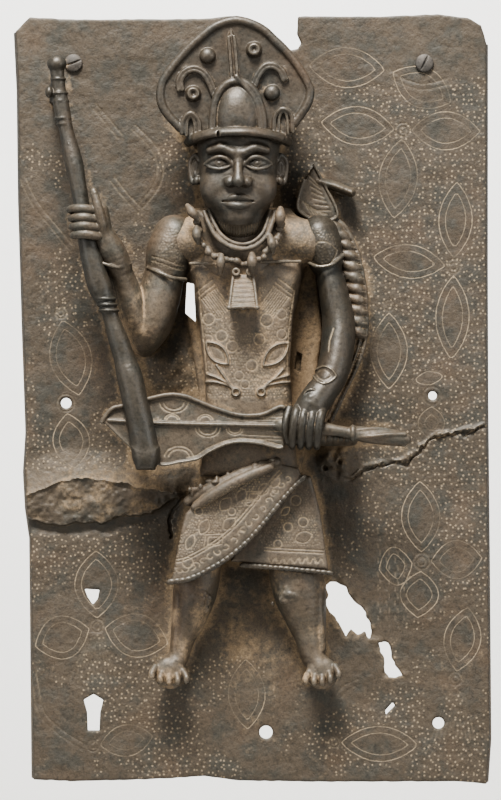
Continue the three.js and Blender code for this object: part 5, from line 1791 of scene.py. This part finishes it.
@dataclass
class Legs(Casting):
    """Two short legs with crusted knees, on splayed feet with five toes each."""

    def shape(self) -> None:
        """Builds each leg and its foot."""
        solid = self.solid
        solid.limb([(-31, 8, -92, 14, 14), (-32.5, 9, -112, 13.2, 14), (-35.5, 8, -128, 10, 13),
                    (-40, 7, -143, 6.8, 11), (-42.5, 8, -156, 4.8, 10)], 1)
        solid.limb([(26, 8, -92, 16, 14), (27.8, 9, -110, 16, 14.5), (30.5, 8, -124, 13.2, 13.5),
                    (34, 7, -139, 9.5, 11), (36.8, 8, -155, 6.6, 10)], 1)
        solid.limb([(-42.6, 6, -112, 4, 10), (-44, 6, -128, 3.2, 10), (-46, 6, -150, 2.6, 9)], 1.5)
        solid.limb([(41, 6, -112, 4, 11), (41.6, 6, -130, 3.4, 10), (42.4, 6, -150, 2.8, 9)], 1.5)
        for x, z, wide, lumps in ((-31, -118, 8, 30), (24, -116, 9, 34)):
            solid.ball(x, 13.6, z, wide, 9, 10.5, 2)
            for _ in range(lumps):
                dx, dz = solid.rng.normal(0, 0.42, 2)
                size = solid.rng.uniform(1.0, 2.2)
                rise = 22.4 - 5 * (dx * dx + dz * dz)
                solid.ball(x + dx * wide, rise, z + dz * 10, size, size * 0.8, size, 0.9)
        self._foot((-42.5, -156), (-59, -164.8), (-38.5, -167), 20)
        self._foot((37, -156), (32.6, -168), (52, -164.4), 20)
        patches = unevenness((solid.x.size, solid.z.size), solid.cell, 9, solid.rng)
        self.earth = np.clip(0.3 + 0.5 * patches, 0, 0.8).astype(np.float32)
        solid.weather(0.25, 0.12)

    def _foot(self, ankle: Row, first: Row, last: Row, height: float) -> None:
        """A foot turned out over the plate, with a row of toes."""
        solid = self.solid
        middle = ((first[0] + last[0]) / 2, (first[1] + last[1]) / 2)
        solid.limb([(ankle[0], 8, ankle[1] + 4, 5, 9),
                    (middle[0] * 0.7 + ankle[0] * 0.3, 11, ankle[1] - 3, 7, 8.6),
                    (middle[0], height - 4.6, middle[1] + 2.6, 9.6, 4.6)], 1.5, 30)
        for toe in range(5):
            part = toe / 4
            x = first[0] + (last[0] - first[0]) * part
            z = first[1] + (last[1] - first[1]) * part - 2.2 * math.sin(math.pi * part)
            solid.limb([(x * 0.8 + middle[0] * 0.2, height - 3, z + 5, 2.1, 2.0),
                        (x, height + 0.2, z + 1.6, 1.95, 2.3),
                        (x, height + 1.2, z - 0.4, 1.75, 1.8)], 0.5, 12)


# ---- what repeats: cords and nubs along a line ----

@dataclass
class CordedHem:
    """A hem wound with cord: nubs strung along a line by a tree of Geometry Nodes."""

    name: str
    line: Array  # rows of x, h, z
    radius: float
    pitch: float
    finish: Patina

    def _tree(self) -> bpy.types.NodeTree:
        """The tree that turns a line into a row of nubs."""
        tree = bpy.data.node_groups.new(self.name, "GeometryNodeTree")
        face = tree.interface
        face.new_socket("Geometry", in_out="INPUT", socket_type="NodeSocketGeometry")
        for title, kind in (("Spacing", "NodeSocketFloat"), ("Nub Radius", "NodeSocketFloat"),
                            ("Nub Length", "NodeSocketFloat"), ("Seed", "NodeSocketInt"),
                            ("Finish", "NodeSocketMaterial")):
            face.new_socket(title, in_out="INPUT", socket_type=kind)
        face.new_socket("Geometry", in_out="OUTPUT", socket_type="NodeSocketGeometry")

        def put(kind: str, settings: dict[str, object] | None = None,
                links: dict[str | int, object] | None = None) -> bpy.types.Node:
            """Adds a node, its settings and its inputs, which are values or sockets."""
            node = tree.nodes.new(kind)
            for key, value in (settings or {}).items():
                setattr(node, key, value)
            for key, value in (links or {}).items():
                if isinstance(value, bpy.types.NodeSocket):
                    tree.links.new(value, node.inputs[key])
                else:
                    node.inputs[key].default_value = value
            return node

        inputs = put("NodeGroupInput").outputs
        curve = put("GeometryNodeMeshToCurve", None, {"Mesh": inputs["Geometry"]})
        points = put("GeometryNodeCurveToPoints", {"mode": "LENGTH"},
                     {"Curve": curve.outputs[0], "Length": inputs["Spacing"]})
        nub = put("GeometryNodeMeshUVSphere", None,
                  {"Segments": 10, "Rings": 6, "Radius": inputs["Nub Radius"]})
        squeeze = put("ShaderNodeMath", {"operation": "DIVIDE"},
                      {0: inputs["Nub Length"], 1: inputs["Nub Radius"]})
        sizes = put("ShaderNodeCombineXYZ", None, {"X": 1.0, "Y": 1.0, "Z": squeeze.outputs[0]})
        vary = put("FunctionNodeRandomValue", {"data_type": "FLOAT"},
                   {2: 0.88, 3: 1.1, "Seed": inputs["Seed"]})
        scale = put("ShaderNodeVectorMath", {"operation": "SCALE"}, {0: sizes.outputs[0], 3: vary.outputs[1]})
        placed = put("GeometryNodeInstanceOnPoints", None, {
            "Points": points.outputs["Points"], "Instance": nub.outputs["Mesh"],
            "Rotation": points.outputs["Rotation"], "Scale": scale.outputs[0]})
        real = put("GeometryNodeRealizeInstances", None, {"Geometry": placed.outputs[0]})
        painted = put("GeometryNodeSetMaterial", None,
                      {"Geometry": real.outputs[0], "Material": inputs["Finish"]})
        put("NodeGroupOutput", None, {"Geometry": painted.outputs[0]})
        return tree

    def dress(self, relief: ReliefMap, materials: dict[str, bpy.types.Material]) -> bpy.types.Object:
        """Strings the nubs, makes them one mesh and gives it its finish."""
        mesh = bpy.data.meshes.new(self.name)
        mesh.from_pydata(to_metres(self.line).tolist(), [(i, i + 1) for i in range(len(self.line) - 1)], [])
        thing = in_scene(self.name, mesh)
        tree = self._tree()
        nodes = thing.modifiers.new("nubs", "NODES")
        nodes.node_group = tree
        values = {"Spacing": self.pitch * MILLIMETRE, "Nub Radius": self.radius * MILLIMETRE,
                  "Nub Length": self.pitch * 0.95 * MILLIMETRE, "Seed": 3,
                  "Finish": materials[self.finish.name]}
        for item in tree.interface.items_tree:
            if item.item_type == "SOCKET" and item.in_out == "INPUT" and item.name in values:
                nodes[item.identifier] = values[item.name]
        thing = settled(thing)
        points = vertices_of(thing)
        marked(thing, Mark.RIDGE, np.full(len(points), 0.35))
        marked(thing, Mark.SHELTER, relief.shelter(points))
        for mark in (Mark.HOLLOW, Mark.FILL, Mark.EARTH):
            marked(thing, mark, np.zeros(len(points)))
        thing.data.shade_smooth()
        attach(thing, "root")
        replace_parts(thing, "plaque")
        log.info("%s: %d faces", thing.name, len(thing.data.polygons))
        return thing


# ---- the screws ----

@dataclass
class HangingScrew(Casting):
    """A round-headed screw with a worn slot."""

    node: str = ""
    x: float = 0.0
    z: float = 201.5
    head_radius: float = 5.5
    head_height: float = 2.6
    shank_radius: float = 2.2
    shank_length: float = 21.8
    gap: float = 0.3
    slot_angle: float = 0.4

    def shape(self) -> None:
        """Turns the head and shank."""
        solid = self.solid
        away = np.hypot(solid.x - self.x, solid.z - self.z)
        crown = self.gap + self.head_height - 1.1 * (away / self.head_radius) ** 2
        head = larger(larger(away - self.head_radius, solid.h - crown, 0.8), self.gap - solid.h, 0.2)
        thread = 0.18 * np.sin(solid.h * 2 * math.pi / 1.6 + np.arctan2(solid.z - self.z, solid.x - self.x))
        tip = self.gap + 1 - self.shank_length
        taper = self.shank_radius * (0.72 + 0.28 * np.clip((solid.h - tip) / 14, 0, 1))
        shank = larger(larger(away - taper - thread, solid.h - 1, 0.2), tip - solid.h, 0.8)
        solid.distance = smaller(head, shank, 0.5).astype(np.float32)
        reach = self.head_radius * 0.92
        dx, dz = reach * math.cos(self.slot_angle), reach * math.sin(self.slot_angle)
        top = self.gap + self.head_height
        solid.limb([(self.x - dx, top - 0.3, self.z - dz, 0.55, 0.9),
                    (self.x + dx, top - 0.3, self.z + dz, 0.55, 0.9)],
                   0.2, carve=True)
        solid.weather(0.08, 0.05)

    def finish_piece(self, thing: bpy.types.Object, relief: ReliefMap,
                     materials: dict[str, bpy.types.Material]) -> None:
        """Finishes the screw, which stands for its own solid."""
        super().finish_piece(thing, relief, materials)
        del thing["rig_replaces"]
        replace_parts(thing, self.node)


# ---- light, camera and floor ----

@dataclass(frozen=True)
class Studio:
    """A plain pale floor, soft lights and a long lens, level with the plaque's middle."""

    distance: float = 2.5
    view_height: float = 0.48
    aim: tuple[float, float] = (-0.0003, -0.0006)
    floor: float = -1.1
    wall_light: float = 165.0

    def camera(self) -> None:
        """Sets the camera in front of the plaque."""
        data = bpy.data.cameras.new("camera")
        data.sensor_fit = "VERTICAL"
        data.angle_y = 2 * math.atan(self.view_height / 2 / self.distance)
        thing = in_scene("camera", data)
        thing.location = (self.aim[0], -self.distance - PLATE_THICKNESS * MILLIMETRE, self.aim[1])
        thing.rotation_euler = (math.pi / 2, 0, 0)
        bpy.context.scene.camera = thing

    def light(self, name: str, place: tuple[float, float, float], size: float, watts: float,
              colour: tuple[float, float, float] = (1, 1, 1)) -> None:
        """Hangs a soft square light that faces the plaque."""
        data = bpy.data.lights.new(name, "AREA")
        data.shape, data.size, data.energy, data.color = "SQUARE", size, watts, colour
        data.spread = math.radians(70)
        thing = in_scene(name, data)
        thing.location = place
        direction = -np.array(place)
        flat = math.hypot(direction[0], direction[1])
        thing.rotation_euler = (math.atan2(flat, -direction[2]), 0,
                                math.atan2(direction[1], direction[0]) - math.pi / 2)

    def panel(self, name: str, corners: Rows, colour: Colour) -> None:
        """Puts up a flat pale sheet that is not part of the plaque."""
        bench = Bench(f"{name}_paint")
        shader = bench.node("ShaderNodeBsdfPrincipled", None, {"Base Color": colour, "Roughness": 0.85})
        bench.node("ShaderNodeOutputMaterial", None, {"Surface": shader.value("BSDF")})
        sheet = mesh_object(name, np.array(corners, float), np.array([[0, 1, 2, 3]]))
        sheet.data.materials.append(bench.material)

    def set_up(self) -> None:
        """Sets the camera, the lights, the surroundings, the floor and the wall far behind."""
        self.camera()
        self.light("key", (-0.25, -1.0, 1.75), 0.65, 27, (1, 0.96, 0.9))
        self.light("fill_left", (-1.9, -1.5, 0.2), 1.0, 3.0)
        self.light("fill_right", (1.9, -1.5, 0.3), 1.0, 4.0)
        world = bpy.data.worlds.new("surroundings")
        world.use_nodes = True
        sky = world.node_tree.nodes["Background"].inputs
        sky["Color"].default_value = (1.0, 0.99, 0.97, 1)
        sky["Strength"].default_value = 0.66
        bpy.context.scene.world = world
        bpy.context.scene.view_settings.look = "AgX - Medium High Contrast"
        reach, far, low = 12.0, 7.0, self.floor
        self.panel("floor", [(-reach, -reach, low), (reach, -reach, low), (reach, far, low),
                             (-reach, far, low)],
                   (0.86, 0.85, 0.82, 1))
        self.panel("far_wall", [(-4, far, low), (4, far, low), (4, far, 4), (-4, far, 4)],
                   (0.88, 0.87, 0.84, 1))
        lamp = bpy.data.lights.new("wall_light", "AREA")
        lamp.shape, lamp.size, lamp.energy = "SQUARE", 2.5, self.wall_light
        thing = in_scene("wall_light", lamp)
        thing.location = (0, far - 2.5, 1.4)
        thing.rotation_euler = (math.radians(78), 0, 0)


# ---- the whole plaque ----

def figure_parts() -> list[Casting]:
    """Every part of the figure in relief."""
    return [
        Headdress("headdress", (-59, -3, 145), (40, 60.5, 227.5), DARK_FINISH, 76_000, 0.45, 11),
        Head("head", (-41, -3, 91), (26, 62, 160), DARK_FINISH, 72_000, 0.4, 12),
        Necklace("necklace_and_bell", (-44, -3, 47), (28, 56, 119), CLOTH_FINISH, 56_000, 0.45, 13),
        Tunic("tunic", (-66, -3, -50), (60, 41, 114), CLOTH_FINISH, 84_000, 0.5, 14),
        StaffArm("staff_arm", (-113, -3, 18), (-30, 56, 127), FIGURE_FINISH, 54_000, 0.5, 15),
        Staff("staff", (-125, -3, -44), (-50, 58, 207), RUBBED_FINISH, 38_000, 0.55, 16),
        Sword("sword", (-93, -3, -47), (98, 50, 8), FIGURE_FINISH, 60_000, 0.45, 17),
        SwordArm("sword_arm", (14, -3, -34), (66, 57, 115), RUBBED_FINISH, 50_000, 0.5, 18),
        Quiver("quiver", (24, -3, -18), (74, 22, 144), FIGURE_FINISH, 38_000, 0.45, 19),
        Skirt("skirt", (-54, -3, -112), (52, 44, -28), CLOTH_FINISH, 82_000, 0.45, 20),
        Legs("legs", (-66, -3, -174), (58, 27, -84), FIGURE_FINISH, 42_000, 0.5, 21),
    ]


def corded_hems() -> list[CordedHem]:
    """The cords along the hems of the two flaps."""
    upper = smooth_line(HEM, 120)
    lower = smooth_line(UNDER_HEM, 60)
    outer_line = np.column_stack([upper[:, 0], np.full(120, 34.2), upper[:, 1]])
    under_line = np.column_stack([lower[:, 0], np.full(60, 25.2), lower[:, 1]])
    return [CordedHem("outer_hem", outer_line, 1.85, 3.2, DARK_FINISH),
            CordedHem("under_hem", under_line, 1.6, 3.0, DARK_FINISH)]


def main() -> None:
    """Builds the plaque, its screws and the studio round it."""
    logging.basicConfig(level=logging.INFO, format="%(message)s")
    finishes = (PLATE_FINISH, FIGURE_FINISH, DARK_FINISH, RUBBED_FINISH, CLOTH_FINISH, SCREW_FINISH)
    materials = {finish.name: finish.material() for finish in finishes}
    relief = ReliefMap()
    parts = figure_parts()
    for part in parts:
        part.build()
        relief.cover(part.solid)
    plate = Plate("plate", (-147.5, -14.5, -233), (147.5, 12, 233), PLATE_FINISH, 145_000, 0.6, 31,
                  footing=relief.footing)
    plate.build()
    screws = [HangingScrew(f"screw_{side}", (x - 7, -23.5, 194), (x + 7, 4.5, 209), SCREW_FINISH, 9_000, 0.35,
                           seed,
                           False, node=f"hanging_screw_{side}", x=x, slot_angle=angle)
              for side, x, seed, angle in (("left", -106.5, 41, 0.35), ("right", 104.0, 42, 1.1))]
    for screw in screws:
        screw.build()
    for part in [*parts, plate, *screws]:
        part.dress(relief, materials)
    for hem in corded_hems():
        hem.dress(relief, materials)
    Studio().set_up()


if __name__ == "__main__":
    main()
